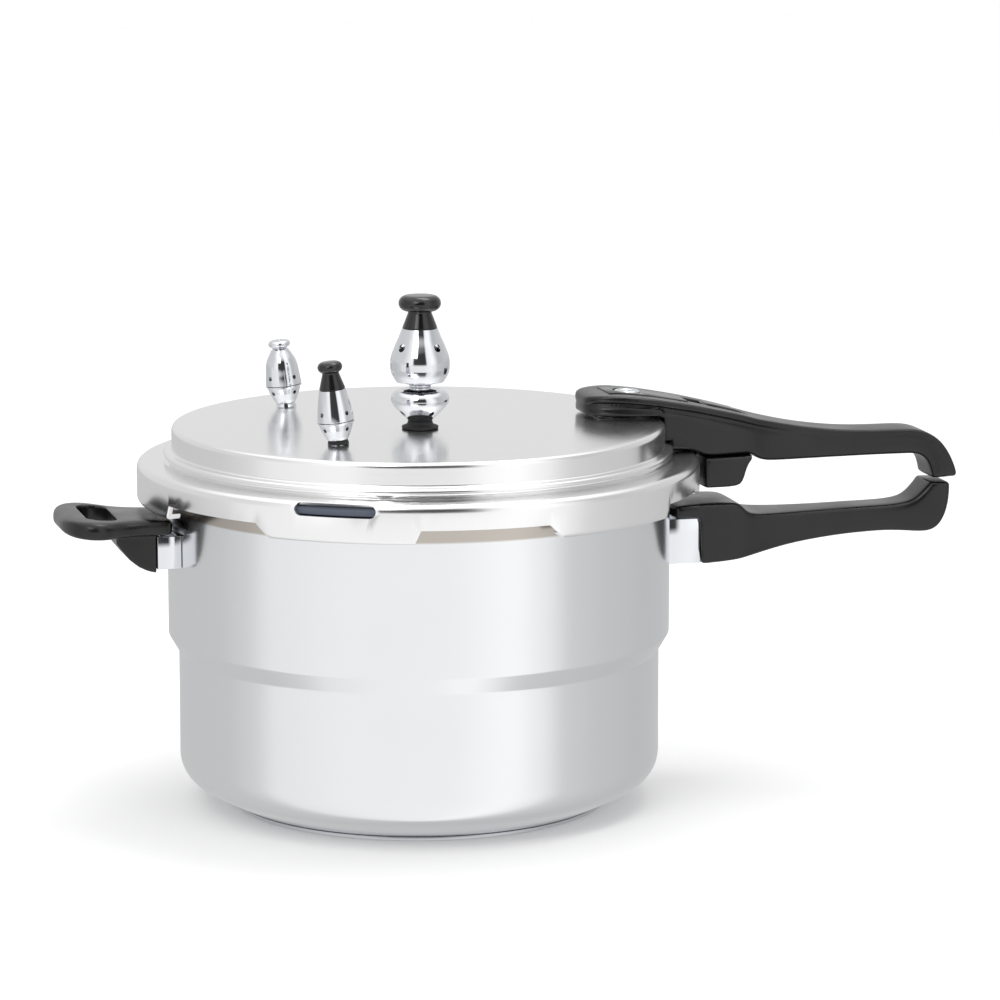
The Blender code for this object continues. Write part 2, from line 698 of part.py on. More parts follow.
def window_cutter():
    """A curved slot with round ends, through the skirt and into its top corner."""
    half_height = WINDOW_HEIGHT / 2
    end_deg = math.degrees(half_height / SKIRT_R)
    rings = []
    for step in range(13):
        share = -math.cos(math.pi * step / 12)
        angle = share * WINDOW_DEG / 2
        past = max(0.0, abs(angle) - (WINDOW_DEG / 2 - end_deg)) / end_deg
        half = half_height * math.sqrt(max(0.03, 1.0 - past ** 2))
        turn = math.radians(WINDOW_AZIMUTH + angle)
        ring = []
        for radius, level in ((-4.4, -half), (3.0, -half), (3.0, half), (-4.4, half)):
            reach = SKIRT_R + radius
            ring.append((reach * math.cos(turn), reach * math.sin(turn), WINDOW_Z + level))
        rings.append(ring)
    return loft("cut_lid_window", rings, None)


def make_gasket(inner_skirt):
    """Silicone ring between the rim of the pot and the shoulder of the lid, open to the inside."""
    low = RIM_Z + GAP
    high = low + GASKET_THICK
    outer = inner_skirt - GAP
    inner = POT_R + 1.5
    leaf = GASKET_THICK / 3
    turned(
        "sealing_gasket",
        [(inner, high), (outer - 1.6, high), (outer, high - 1.6), (outer, low + 0.8), (outer - 0.8, low),
         (inner, low), (inner, low + leaf), (outer - 3.0, low + leaf), (outer - 3.0, high - leaf),
         (inner, high - leaf)],
        "silicone", ring=True, steps=TURN_STEPS,
    )


# Lid handle, its steel strip and the lock

def handle_drop(x):
    """Height of the top of the lid handle from the crown edge, read from its table."""
    spots = [top for top, *_ in LID_HANDLE]
    for (x0, z0), (x1, z1) in zip(spots, spots[1:]):
        if x0 <= x <= x1:
            return z0 + (z1 - z0) * (x - x0) / (x1 - x0)
    return spots[-1][1]


LID_HANDLE = (
    # x from POT_R, z from CROWN_Z, half width, corner radius
    ((-48.6, 11.6), (-48.6, 3.0), 9.0, 1.2),
    ((-46.4, 13.3), (-46.4, 1.9), 15.0, 2.4),
    ((-40.5, 14.2), (-40.5, 1.6), 20.5, 3.0),
    ((-31.0, 14.2), (-31.0, 1.5), 24.0, 4.0),
    ((-25.0, 13.9), (-25.0, 1.4), 25.4, 4.0),
    ((-13.0, 12.4), (-13.0, 1.4), 26.0, 4.0),
    ((-9.0, 11.8), (-9.0, 1.4), 26.0, 4.0),
    ((-5.6, 11.2), (-5.6, 1.2), 26.0, 4.0),
    ((-5.0, 11.1), (-5.0, -18.6), 26.0, 4.0),
    ((15.0, 7.4), (15.0, -18.8), 25.8, 4.0),
    ((20.0, 6.2), (20.0, -HANDLE_UNDER), 25.5, 4.0),
    ((32.0, 3.4), (32.0, -HANDLE_UNDER), 24.6, 4.0),
    ((43.0, 0.6), (43.0, -HANDLE_UNDER), 23.0, 4.0),
    ((50.6, -1.8), (50.6, -HANDLE_UNDER), 21.2, 4.0),
    ((53.6, -2.7), (53.6, -26.8), 20.0, 4.0),
    ((60.0, -4.3), (60.0, -28.6), 17.6, 4.0),
    ((72.0, -7.1), (72.0, -28.9), 14.8, 4.0),
    ((87.0, -9.9), (87.0, -28.9), 13.2, 4.0),
    ((107.0, -12.5), (107.0, -28.7), 12.7, 4.0),
    ((127.0, -13.3), (127.0, -28.5), 12.6, 4.0),
    ((147.0, -13.1), (147.0, -28.5), 12.9, 4.0),
    ((154.8, -14.1), (151.8, -28.5), 13.3, 4.0),
    ((162.2, -17.1), (156.2, -29.8), 13.8, 4.0),
    ((168.8, -22.5), (159.1, -32.7), 14.3, 4.0),
    ((173.6, -30.5), (160.7, -36.9), 14.8, 4.0),
    ((176.5, -38.0), (161.6, -40.6), 15.2, 4.0),
    ((177.5, -43.6), (162.2, -43.8), 15.2, 3.0),
)


def top_strip(start, end, over, under):
    """Side outline of a strip that follows the top of the lid handle."""
    count = 6
    xs = [start + (end - start) * step / count for step in range(count + 1)]
    top = [(POT_R + x, CROWN_Z + handle_drop(x) + over) for x in xs]
    bottom = [(POT_R + x, CROWN_Z + handle_drop(x) - under) for x in reversed(xs)]
    return top + bottom


def make_strip(lid):
    """Steel strip riveted to the crown, over its edge and out into the handle; also the rivets' room."""
    start = STRIP_START
    end = STRIP_END
    leg = STRIP_LEG_X
    top = STRIP_Z + BRACKET_SHEET
    foot = FOOT_Z + BRACKET_SHEET
    outline = [
        (start, top), (leg + BRACKET_SHEET, top), (leg + BRACKET_SHEET, foot), (end, foot),
        (end, FOOT_Z), (leg, FOOT_Z), (leg, STRIP_Z), (start, STRIP_Z),
    ]
    strip = slab("lid_bracket", outline, STRIP_HALF, "steel")
    slot = block(
        "cut_strip_slot", (SKIRT_R + 0.4, -BOLT_HALF - RUN, FOOT_Z - 1.0),
        (LEG_X + BOLT_THICK + RUN, BOLT_HALF + RUN, foot + 1.0), None,
    )
    cut(strip, slot)
    rivet_x = start + STRIP_RIVET_AT
    rooms = []
    for index, y in enumerate((-RIVET_SPREAD, RIVET_SPREAD)):
        under = lid_top(math.hypot(rivet_x, y)) - SHEET
        frame = upright(rivet_x, y, under - 0.2)
        tunnel = rod(f"cut_strip_rivet_{index}", RIVET_R + GAP, -4.0, 10.0, None, frame, steps=12)
        cut(strip, tunnel)
        cut(lid, tunnel)
        make_rivet(f"lid_bracket_rivet_{index + 1}", frame, top - under + 0.2, 1.3)
        rooms.append(
            rod(f"cut_rivet_room_{index}", RIVET_HEAD_R + RUN, 0.0, 12.0, None, frame, steps=12)
        )
    return strip, rooms


def make_lid_handle(strip, rooms):
    """Upper long handle: main moulding, base block, inlay, slide button and lock bolt."""
    rings = []
    for top, bottom, half_width, radius in LID_HANDLE:
        top_at = (POT_R + top[0], CROWN_Z + top[1])
        bottom_at = (POT_R + bottom[0], CROWN_Z + bottom[1])
        rings.append(section(top_at, bottom_at, half_width, radius))
    handle = loft("lid_handle", rings, "bakelite")
    crown = rod("cut_handle_crown", LID_R + RUN, FOOT_Z - 2.0, CROWN_Z + 1.35, None, steps=TURN_STEPS)
    cut(handle, crown)
    bead = rod("cut_handle_bead", BEAD_R + 0.5, FOOT_Z - 1.0, SHOULDER_Z + 7.5, None, steps=TURN_STEPS)
    cut(handle, bead)
    half = STRIP_HALF + GAP
    strip_start = STRIP_START - GAP
    strip_end = STRIP_END + GAP
    strip_top = STRIP_Z + BRACKET_SHEET + GAP
    foot_top = FOOT_Z + BRACKET_SHEET + GAP
    leg_end = STRIP_LEG_X + BRACKET_SHEET + GAP
    strip_room = [
        (strip_start, strip_top), (leg_end, strip_top), (leg_end, foot_top), (strip_end, foot_top),
        (strip_end, FOOT_Z - 8.0), (POT_R, FOOT_Z - 8.0), (POT_R, CROWN_Z - 2.0),
        (strip_start, CROWN_Z - 2.0),
    ]
    cut(handle, slab("cut_handle_strip", strip_room, half, None))
    for room in rooms:
        cut(handle, room)
    bar_low = FOOT_Z + 5.8
    bar_high = bar_low + BOLT_THICK + 0.2
    bar_end = LEG_X + BOLT_THICK + 6.4
    half_bolt = BOLT_HALF + RUN
    cavity = block(
        "cut_handle_cavity", (LEG_X - LOCK_TRAVEL - 3.0, -half_bolt, foot_top - 0.5),
        (bar_end + RUN, half_bolt, bar_high + GAP), None,
    )
    cut(handle, cavity)
    button_start, button_end = (SKIRT_R + reach for reach in BUTTON_SPAN)
    floor = CROWN_Z + handle_drop(button_end - POT_R) - BUTTON_DEPTH
    channel = block(
        "cut_button_channel", (button_start - LOCK_TRAVEL - RUN, -BUTTON_HALF - RUN, floor - GAP),
        (button_end + RUN, BUTTON_HALF + RUN, CROWN_Z + 20.0), None,
    )
    cut(handle, channel)
    stem_start, stem_end = (SKIRT_R + reach for reach in BUTTON_STEM_SPAN)
    stem_slot = block(
        "cut_button_slot", (stem_start - LOCK_TRAVEL - RUN, -half_bolt, bar_high - 1.0),
        (stem_end + RUN, half_bolt, floor + 1.0), None,
    )
    cut(handle, stem_slot)
    make_lock(bar_low, bar_high, bar_end, floor, (button_start, button_end), (stem_start, stem_end))
    start, end = INLAY_SPAN
    inlay = slab("handle_inlay", top_strip(start, end, 0.5, INLAY_DEPTH), INLAY_HALF, "bakelite")
    bed = top_strip(start - GAP, end + GAP, 8.0, INLAY_DEPTH + GAP)
    cut(handle, slab("cut_handle_inlay", bed, INLAY_HALF + GAP, None))
    make_base_block(handle, strip, half_bolt)
    return handle, inlay


def make_lock(bar_low, bar_high, bar_end, floor, button_span, stem_span):
    """Slide button and the steel bolt that it pushes through the skirt into the pot lug."""
    start, end = button_span
    drop_start = CROWN_Z + handle_drop(start - POT_R)
    drop_end = CROWN_Z + handle_drop(end - POT_R)
    outline = [(start, floor), (start, drop_start - 0.6), (start + 1.2, drop_start + 0.4)]
    for share in (0.25, 0.5, 0.75):
        at = start + (end - start) * share
        outline.append((at, CROWN_Z + handle_drop(at - POT_R) + 0.8))
    outline += [(end - 1.2, drop_end + 0.5), (end, drop_end - 0.5), (end, floor)]
    button = slab("slide_button", outline, BUTTON_HALF, "bakelite")
    stem = block(
        "guide_button_stem", (stem_span[0], -BOLT_HALF, bar_high + GAP),
        (stem_span[1], BOLT_HALF, floor + 1.0), None,
    )
    join(button, stem)
    leg_end = LEG_X + BOLT_THICK
    outline = [
        (LEG_X - 2.0, bar_high), (bar_end, bar_high), (bar_end, bar_low), (leg_end, bar_low),
        (leg_end, BOLT_Z), (SKIRT_R + 1.2, BOLT_Z), (SKIRT_R + 1.2, BOLT_Z + BOLT_THICK),
        (LEG_X, BOLT_Z + BOLT_THICK), (LEG_X, bar_low), (LEG_X - 2.0, bar_low),
    ]
    slab("lock_bolt", outline, BOLT_HALF, "steel")


def make_base_block(handle, strip, half_bolt):
    """Block under the handle root that clamps the strip, with its two screws."""
    start = SKIRT_R + 3.2
    low = SHOULDER_Z - 22.0
    high = CROWN_Z - HANDLE_UNDER - GAP
    table = (
        # distance out, underside, half width
        (start, low, 24.2),
        (start + 8.0, low, 24.0),
        (start + 21.0, low + 0.2, 23.2),
        (start + 24.5, low + 3.0, 22.6),
        (start + 27.0, low + 9.0, 22.0),
        (start + 30.0, low + 13.6, 21.2),
    )
    rings = [section((x, high), (x, bottom), half, 3.0) for x, bottom, half in table]
    base = loft("lid_handle_base", rings, "bakelite")
    fill = block(
        "guide_base_fill", (start + GAP, -STRIP_HALF, high - 2.0),
        (STRIP_END - 0.5, STRIP_HALF, FOOT_Z - GAP), None,
    )
    join(base, fill)
    leg_room = block(
        "cut_base_leg", (start - 4.0, -half_bolt, BOLT_Z - RUN),
        (LEG_X + BOLT_THICK + RUN, half_bolt, FOOT_Z + 1.0), None,
    )
    cut(base, leg_room)
    head_z = low + 3.2
    for index, y in enumerate((-9.5, 9.5)):
        frame = upright(SKIRT_R + HANDLE_SCREW_OUT, y, head_z)
        tunnel = rod(
            f"cut_base_screw_{index}", SCREW_R + GAP, -0.5, 30.0 + GAP, None, frame, steps=14,
        )
        pocket = rod(f"cut_base_pocket_{index}", SCREW_HEAD_R + GAP, -8.0, GAP, None, frame, steps=16)
        for piece in (base, strip, handle):
            cut(piece, tunnel)
        cut(base, pocket)
        make_screw(f"lid_handle_screw_{index + 1}", frame, 30.0)


def make_float_valve(lid, handle, inlay, strip):
    """Pressure indicator: pin, seal and bush in the lid under the tip of the handle."""
    top = lid_top(FLOAT_X)
    handle_top = CROWN_Z + handle_drop(FLOAT_X - POT_R)
    frame = upright(FLOAT_X, 0, 0)
    flange_room = rod(
        "cut_strip_float", FLOAT_FLANGE_R + GAP, STRIP_Z - 2.0, STRIP_Z + 4.0, None, frame, steps=24,
    )
    cut(strip, flange_room)
    cut(lid, rod("cut_lid_float", FLOAT_BUSH_R + GAP, top - 8.0, top + 4.0, None, frame, steps=16))
    under = top - SHEET
    bore = FLOAT_R + RUN
    turned(
        "float_bush",
        [(bore, top + 1.6), (FLOAT_FLANGE_R - 0.8, top + 1.6), (FLOAT_FLANGE_R, top + 0.9),
         (FLOAT_FLANGE_R, top + 0.45),
         (FLOAT_BUSH_R, top + 0.45), (FLOAT_BUSH_R, under - 0.6), (bore, under - 0.6)],
        "steel", ring=True, steps=16, matrix=frame,
    )
    seal_top = under - 0.6 - FLOAT_TRAVEL - GAP
    turned(
        "float_seal",
        [(FLOAT_R + GAP, seal_top), (FLOAT_SEAL_R, seal_top), (FLOAT_SEAL_R, seal_top - 1.7),
         (FLOAT_R + GAP, seal_top - 1.7)],
        "silicone", ring=True, steps=16, matrix=frame,
    )
    head_top = seal_top - 1.7 - GAP
    turned(
        "float_pin",
        [(0.0, handle_top + 0.7), (FLOAT_R * 0.7, handle_top + 0.6), (FLOAT_R, handle_top),
         (FLOAT_R, head_top), (FLOAT_SEAL_R, head_top), (FLOAT_SEAL_R, head_top - 2.0),
         (0.0, head_top - 2.0)],
        "steel", steps=16, matrix=frame,
    )
    shaft = rod("cut_handle_float", FLOAT_R + RUN, top, handle_top + 4.0, None, frame, steps=16)
    cut(handle, shaft)
    seat = handle_top - INLAY_DEPTH
    well = rod("cut_handle_bezel", BEZEL_R + GAP, seat - GAP, seat + 8.0, None, frame, steps=24)
    cut(handle, well)
    cut(inlay, rod("cut_inlay_bezel", BEZEL_R + GAP, seat - 2.0, seat + 8.0, None, frame, steps=24))
    turned(
        "indicator_ring",
        [(FLOAT_R + RUN, seat + 2.4), (BEZEL_R - 1.3, seat + 2.4), (BEZEL_R, seat + 1.6), (BEZEL_R, seat),
         (FLOAT_R + RUN, seat)],
        "steel", ring=True, steps=24, matrix=frame,
    )


# Regulator

def make_regulator(lid):
    """Vent pipe through the lid with its nut and strainer, the cup, and the weight that lifts off."""
    x, y = REGULATOR_AT
    frame = upright(x, y, lid_top(math.hypot(x, y)))
    neck_r = PIPE_R + 1.2
    tip_z = WEIGHT_Z + WEIGHT_HEIGHT * 0.78
    cup_top = WEIGHT_Z - 4.6
    cut(lid, rod("cut_lid_pipe", PIPE_R + GAP, -9.0, 5.0, None, frame, steps=SMALL_STEPS))
    ring_step = (WEIGHT_Z - cup_top) / 3
    neck = [(neck_r - 1.0, WEIGHT_Z + 3.0)]
    for index in range(3):
        at = WEIGHT_Z - 0.2 - index * ring_step
        neck += [(neck_r, at), (neck_r, at - ring_step * 0.6), (neck_r - 0.7, at - ring_step * 0.8)]
    pipe = [(PIPE_BORE_R, tip_z), (PIPE_TIP_R - 1.4, tip_z), (PIPE_TIP_R, tip_z - 3.0)]
    pipe.append((PIPE_TIP_R, WEIGHT_Z + 4.0))
    pipe += neck
    pipe += [(neck_r - 0.7, 7.4), (PIPE_R, 6.8), (PIPE_R, -13.0), (PIPE_BORE_R, -13.0)]
    turned("vent_pipe", pipe, "chrome", ring=True, steps=16, matrix=frame)
    bore = PIPE_R + GAP
    turned(
        "regulator_gasket",
        [(bore, 4.5), (6.9, 4.5), (7.3, 2.4), (10.3, 1.6), (10.3, 0.5), (9.6, GAP), (bore, GAP)],
        "black_rubber", ring=True, matrix=frame,
    )
    cup_low = 4.5 + GAP
    cup = [
        (9.4, cup_top - 0.6), (CUP_R - 3.6, cup_top), (CUP_R - 1.0, cup_top - 2.2), (CUP_R, cup_top - 5.4),
        (CUP_R - 1.1, cup_top - 8.4), (CUP_R - 4.4, cup_top - 12.2), (7.6, cup_low + 0.5), (7.0, cup_low),
        (bore, cup_low), (bore, cup_low + 1.4), (7.4, cup_low + 1.7), (CUP_R - 5.2, cup_top - 11.0),
        (CUP_R - 2.2, cup_top - 7.6), (CUP_R - 1.3, cup_top - 5.2), (CUP_R - 2.4, cup_top - 3.0),
        (9.4, cup_top - 1.8),
    ]
    base = turned("regulator_cup", cup, "chrome", ring=True, matrix=frame)
    side_holes(base, 1.5, cup_top - 12.6, CUP_R, frame, 20.0, "cut_cup_holes")
    nut_top = -SHEET - GAP - 0.2
    make_nut("vent_pipe_nut", frame @ Matrix.Translation((0, 0, nut_top - 4.5)), PIPE_R, 8.5, 4.5)
    strainer_top = nut_top - 4.5 - GAP
    strainer = turned(
        "strainer_cap",
        [(bore, strainer_top), (7.6, strainer_top), (8.2, strainer_top - 0.6), (8.2, strainer_top - 7.0),
         (6.6, strainer_top - 8.6), (0.0, strainer_top - 8.6), (0.0, strainer_top - 7.6),
         (6.1, strainer_top - 7.6), (7.2, strainer_top - 6.6), (7.2, strainer_top - 1.2),
         (bore, strainer_top - 1.2)],
        "steel", ring=True, steps=16, matrix=frame,
    )
    side_holes(strainer, 1.3, strainer_top - 4.0, 8.0, frame, 45.0, "cut_strainer_holes")
    make_weight(frame, tip_z)


def make_weight(frame, tip_z):
    """Weight on the vent pipe: pear shell, heavy core with its needle, and the knob."""
    low = WEIGHT_Z
    high = WEIGHT_Z + WEIGHT_HEIGHT
    shape = (
        # share of the height, how far inside the widest radius
        (1.0, 6.75), (0.86, 5.15), (0.68, 2.75), (0.48, 0.55),
        (0.32, 0.0), (0.17, 0.55), (0.05, 2.35), (0.0, 3.35),
    )
    outer = [(WEIGHT_R - inset, low + WEIGHT_HEIGHT * share) for share, inset in shape]
    inner = [(r - 1.2, z) for r, z in reversed(outer[1:])]
    stud_r = 3.0
    profile = [(stud_r + GAP, high)] + outer + inner
    profile += [(outer[0][0] - 1.2, high - 1.4), (stud_r + GAP, high - 1.4)]
    shell = turned("regulator_shell", profile, "chrome", ring=True, steps=16, matrix=frame)
    side_holes(shell, 2.2, low + WEIGHT_HEIGHT * 0.67, WEIGHT_R, frame, 30.5, "cut_shell_holes")
    core_r = 7.6
    core_top = high - 1.4 - GAP
    bore = PIPE_TIP_R + RUN
    seat = tip_z + 1.2
    knob_high = high + GAP + 9.2
    turned(
        "regulator_core",
        [(0.0, knob_high - 0.6), (stud_r, knob_high - 0.6), (stud_r, core_top), (core_r, core_top),
         (core_r, low + 9.0), (bore, low + 9.0), (bore, seat), (PIPE_BORE_R + 0.6, seat),
         (0.0, tip_z - 1.3)],
        "steel", steps=16, matrix=frame,
    )
    cone_low = high + GAP
    ball = arc((KNOB_R - 4.0, knob_high + 4.7), 4.4, 90.0, -90.0, 6)
    turned(
        "regulator_knob",
        [(0.0, knob_high + 9.4), (KNOB_R - 6.5, knob_high + 9.4)] + ball
        + [(6.6, knob_high), (outer[0][0], cone_low), (stud_r + GAP, cone_low),
           (stud_r + GAP, knob_high - 0.6 + GAP), (0.0, knob_high - 0.6 + GAP)],
        "bakelite", matrix=frame,
    )


# Side valves

def lean_frame(side):
    """Frame of a side valve: on the lid, leaning away from the long handle."""
    x, y = VALVE_AT
    base = Matrix.Translation((x, side * y, lid_top(math.hypot(x, y))))
    return base @ Matrix.Rotation(math.radians(-VALVE_LEAN), 4, "Y")


def make_spring(name, frame, low, high):
    """A compression spring wound by a loop as a polyline."""
    curve = bpy.data.curves.new(name, "CURVE")
    curve.dimensions = "3D"
    curve.bevel_depth = SPRING_WIRE_R * MM
    curve.bevel_resolution = 0
    curve.use_fill_caps = True
    per_turn = 8
    count = SPRING_TURNS * per_turn
    line = curve.splines.new("POLY")
    line.points.add(count)
    for step in range(count + 1):
        angle = 2 * math.pi * step / per_turn
        spot = Vector((
            SPRING_COIL_R * math.cos(angle), SPRING_COIL_R * math.sin(angle),
            low + (high - low) * step / count,
        ))
        line.points[step].co = (*(frame @ spot * MM), 1.0)
    obj = bpy.data.objects.new(name, curve)
    PARTS.objects.link(obj)
    dress(obj, "steel")


def make_valve(lid, prefix, side, cap_top, foot, knob):
    """One side valve: foot, body with its stem, cap, plunger, spring and nut."""
    frame = lean_frame(side)
    x, y = VALVE_AT
    level = lid_top(math.hypot(x, y) - 8.0)
    cut(lid, rod(f"cut_lid_{prefix}", VALVE_STEM_R + GAP * 1.5, -9.0, 6.0, None, frame, steps=16))
    foot_top = 2.6
    foot_piece = turned(
        f"{prefix}_foot",
        [(VALVE_STEM_R + GAP, foot_top), (5.4, foot_top), (6.0, 0.9), (6.0, -3.0),
         (VALVE_STEM_R + GAP, -3.0)],
        foot, ring=True, steps=16, matrix=frame,
    )
    below = block(
        f"cut_{prefix}_foot", (x - 14, side * y - 14, level - 12),
        (x + 14, side * y + 14, level + GAP), None,
    )
    cut(foot_piece, below)
    seam = VALVE_SEAT_Z
    poppet_r = PLUNGER_R + 2.0
    seat = foot_top + GAP + 2.2
    body = [
        (VALVE_R - VALVE_WALL - 0.3, seam - 0.4), (VALVE_R + 0.1, seam - 0.4), (VALVE_R + 0.1, seam - 1.1),
        (VALVE_R - 0.7, seam - 1.5), (VALVE_R - 1.7, seam - 5.0), (VALVE_R - 3.4, foot_top + 2.2),
        (VALVE_R - 4.5, foot_top + GAP), (VALVE_STEM_R, foot_top + GAP), (VALVE_STEM_R, -12.0),
        (1.4, -12.0), (1.4, seat), (VALVE_R - 4.6, seat), (VALVE_R - 2.9, seam - 5.0),
        (VALVE_R - 1.9, seam - 1.5),
    ]
    shell = turned(f"{prefix}_body", body, "chrome", ring=True, steps=SMALL_STEPS, matrix=frame)
    side_holes(shell, 1.1, seam - 4.4, VALVE_R, frame, 30.5, f"cut_{prefix}_body_holes")
    tall = cap_top - seam
    outer = [(7.25, cap_top), (VALVE_R - 1.7, cap_top - tall * 0.34), (VALVE_R - 0.5, cap_top - tall * 0.74),
             (VALVE_R, seam + 0.6), (VALVE_R, seam)]
    if knob == "button":
        outer[0] = (4.9, cap_top)
    hole = PLUNGER_R + RUN
    inner = [(r - VALVE_WALL, z) for r, z in reversed(outer[1:])]
    cap = [(hole, cap_top)] + outer + inner
    cap += [(outer[0][0] - VALVE_WALL, cap_top - 1.4), (hole, cap_top - 1.4)]
    shell = turned(f"{prefix}_cap", cap, "chrome", ring=True, steps=SMALL_STEPS, matrix=frame)
    side_holes(shell, 1.2, seam + 4.6, VALVE_R, frame, 30.5, f"cut_{prefix}_cap_holes")
    knob_low = cap_top + GAP
    stud_top = knob_low + (9.0 if knob == "cone" else 2.4)
    poppet = seat + GAP
    turned(
        f"{prefix}_plunger",
        [(0.0, stud_top), (PLUNGER_R, stud_top), (PLUNGER_R, poppet + 4.6), (poppet_r + 0.4, poppet + 4.6),
         (poppet_r + 0.4, poppet + 3.2), (PLUNGER_R + 0.6, poppet + 3.0), (PLUNGER_R + 1.2, poppet),
         (0.0, poppet)],
        "steel", steps=16, matrix=frame,
    )
    spring_low = poppet + 4.6 + SPRING_WIRE_R + GAP
    spring_high = cap_top - 1.4 - SPRING_WIRE_R - GAP
    if knob == "button":
        spring_high -= 3.0
    make_spring(f"{prefix}_spring", frame, spring_low, spring_high)
    bore = PLUNGER_R + GAP
    if knob == "cone":
        ball = arc((3.9, knob_low + 12.2), 2.95, 80.0, -80.0, 5)
        shape = [(0.0, knob_low + 15.4)] + ball
        shape += [(4.6, knob_low + 9.2), (7.25, knob_low), (bore, knob_low)]
        shape += [(bore, stud_top + GAP), (0.0, stud_top + GAP)]
        turned(f"{prefix}_knob", shape, "bakelite", steps=16, matrix=frame)
    else:
        shape = [(0.0, knob_low + 5.0), (1.1, knob_low + 5.0), (1.3, knob_low + 5.8), (4.6, knob_low + 5.4)]
        shape += arc((4.4, knob_low + 2.9), 1.9, 70.0, -80.0, 4)
        shape += [(4.0, knob_low), (bore, knob_low), (bore, stud_top + GAP), (0.0, stud_top + GAP)]
        turned(f"{prefix}_button", shape, "chrome", steps=16, matrix=frame)
    tilt_room = 8.0 * math.sin(math.radians(VALVE_LEAN))
    nut_at = frame @ Matrix.Translation((0, 0, -SHEET - tilt_room - 2 * GAP - 4.0))
    make_nut(f"{prefix}_nut", nut_at, VALVE_STEM_R, 7.4, 4.0)


def build():
    """Makes the whole canner."""
    pot = make_pot()
    make_tray()
    make_pot_handle(pot)
    make_helper_handle(pot)
    lid = make_lid()
    strip, rooms = make_strip(lid)
    handle, inlay = make_lid_handle(strip, rooms)
    make_float_valve(lid, handle, inlay, strip)
    make_regulator(lid)
    make_valve(lid, "relief_valve", -1, RELIEF_CAP_TOP, "black_rubber", "cone")
    make_valve(lid, "safety_valve", 1, SAFETY_CAP_TOP, "chrome", "button")


build()
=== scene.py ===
# %% [markdown]
# # A stepped aluminium pressure canner
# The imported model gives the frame: where every piece is and what it moves
# with. This script gives the looks. Each cell makes one piece or one finish.
# Sizes are written in millimetres, because that is how such a pot is drawn,
# and become metres as a mesh is made.

# %% Load the frame
import json
import math

import bmesh
import bpy
from mathutils import Matrix, Vector

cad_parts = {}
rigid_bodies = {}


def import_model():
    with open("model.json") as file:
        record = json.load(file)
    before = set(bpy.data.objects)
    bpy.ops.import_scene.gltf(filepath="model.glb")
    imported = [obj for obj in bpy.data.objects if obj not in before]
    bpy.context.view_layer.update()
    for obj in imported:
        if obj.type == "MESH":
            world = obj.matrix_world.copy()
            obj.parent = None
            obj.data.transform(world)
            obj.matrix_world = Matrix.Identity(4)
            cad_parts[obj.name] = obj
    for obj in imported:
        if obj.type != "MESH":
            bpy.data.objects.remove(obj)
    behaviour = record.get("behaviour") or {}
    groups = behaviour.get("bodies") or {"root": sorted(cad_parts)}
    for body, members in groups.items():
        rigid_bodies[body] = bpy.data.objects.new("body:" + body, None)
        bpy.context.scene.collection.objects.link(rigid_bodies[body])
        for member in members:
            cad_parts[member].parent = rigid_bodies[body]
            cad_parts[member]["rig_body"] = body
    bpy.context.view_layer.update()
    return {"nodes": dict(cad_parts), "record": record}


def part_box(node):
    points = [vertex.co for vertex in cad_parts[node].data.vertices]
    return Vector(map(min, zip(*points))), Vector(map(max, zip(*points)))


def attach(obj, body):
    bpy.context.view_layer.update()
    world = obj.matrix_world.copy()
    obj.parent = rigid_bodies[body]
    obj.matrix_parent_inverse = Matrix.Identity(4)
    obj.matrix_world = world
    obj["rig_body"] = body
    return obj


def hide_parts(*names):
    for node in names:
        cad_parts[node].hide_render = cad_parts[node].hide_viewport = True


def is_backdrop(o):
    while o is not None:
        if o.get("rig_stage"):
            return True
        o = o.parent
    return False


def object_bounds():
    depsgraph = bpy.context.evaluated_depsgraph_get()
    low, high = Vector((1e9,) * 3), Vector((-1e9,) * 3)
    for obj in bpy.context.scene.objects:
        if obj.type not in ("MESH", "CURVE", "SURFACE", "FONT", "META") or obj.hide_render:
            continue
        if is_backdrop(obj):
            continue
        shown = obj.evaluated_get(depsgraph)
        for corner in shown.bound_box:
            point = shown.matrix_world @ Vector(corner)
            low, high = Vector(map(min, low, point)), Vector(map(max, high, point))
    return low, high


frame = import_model()
MM = 0.001

# %% [markdown]
# The frame's boxes say how big the pot and lid are, so the fine meshes
# share their sizes. Boxes are read in millimetres. The few sizes that a box
# can't tell are written down: how far the lugs stand out, how far the lower
# wall is set in, how tall the skirt is, and how far the lid's wall stands
# inside the pot's.

# %% Measure the frame


def box_mm(node):
    """Lowest and highest corner of a node, in millimetres."""
    low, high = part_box(node)
    return low / MM, high / MM


def centre_mm(node):
    """Middle of a node's box, in millimetres."""
    low, high = box_mm(node)
    return (low + high) / 2


def upright(x, y=0.0):
    """A place beside the pot's axis, given in millimetres."""
    return Matrix.Translation((x * MM, y * MM, 0))


pot_low, pot_high = box_mm("pot_body")
lid_low, lid_high = box_mm("lid_shell")
LUG_R, RIM_Z, BASE_Z = pot_high.x, pot_high.z, pot_low.z
SKIRT_R, CROWN_TOP, LID_LUG_Z = lid_high.x, lid_high.z, lid_low.z
BASE_R = box_mm("induction_plate")[1].x
SHEET = 3.0
LUG_REACH, STEP_IN, SKIRT_TALL, LID_SET_IN = 11.5, 5.8, 22.0, 2.8
POT_R = LUG_R - LUG_REACH
LOW_R = POT_R - STEP_IN
SHOULDER_Z = LID_LUG_Z + SKIRT_TALL
DOME = 1.8
CROWN_Z = CROWN_TOP - DOME
LID_R = POT_R - LID_SET_IN
CROWN_R = LID_R - 3.0
print(f"pot radius {POT_R:.1f}, rim {RIM_Z:.1f}, crown {CROWN_TOP:.1f} mm")

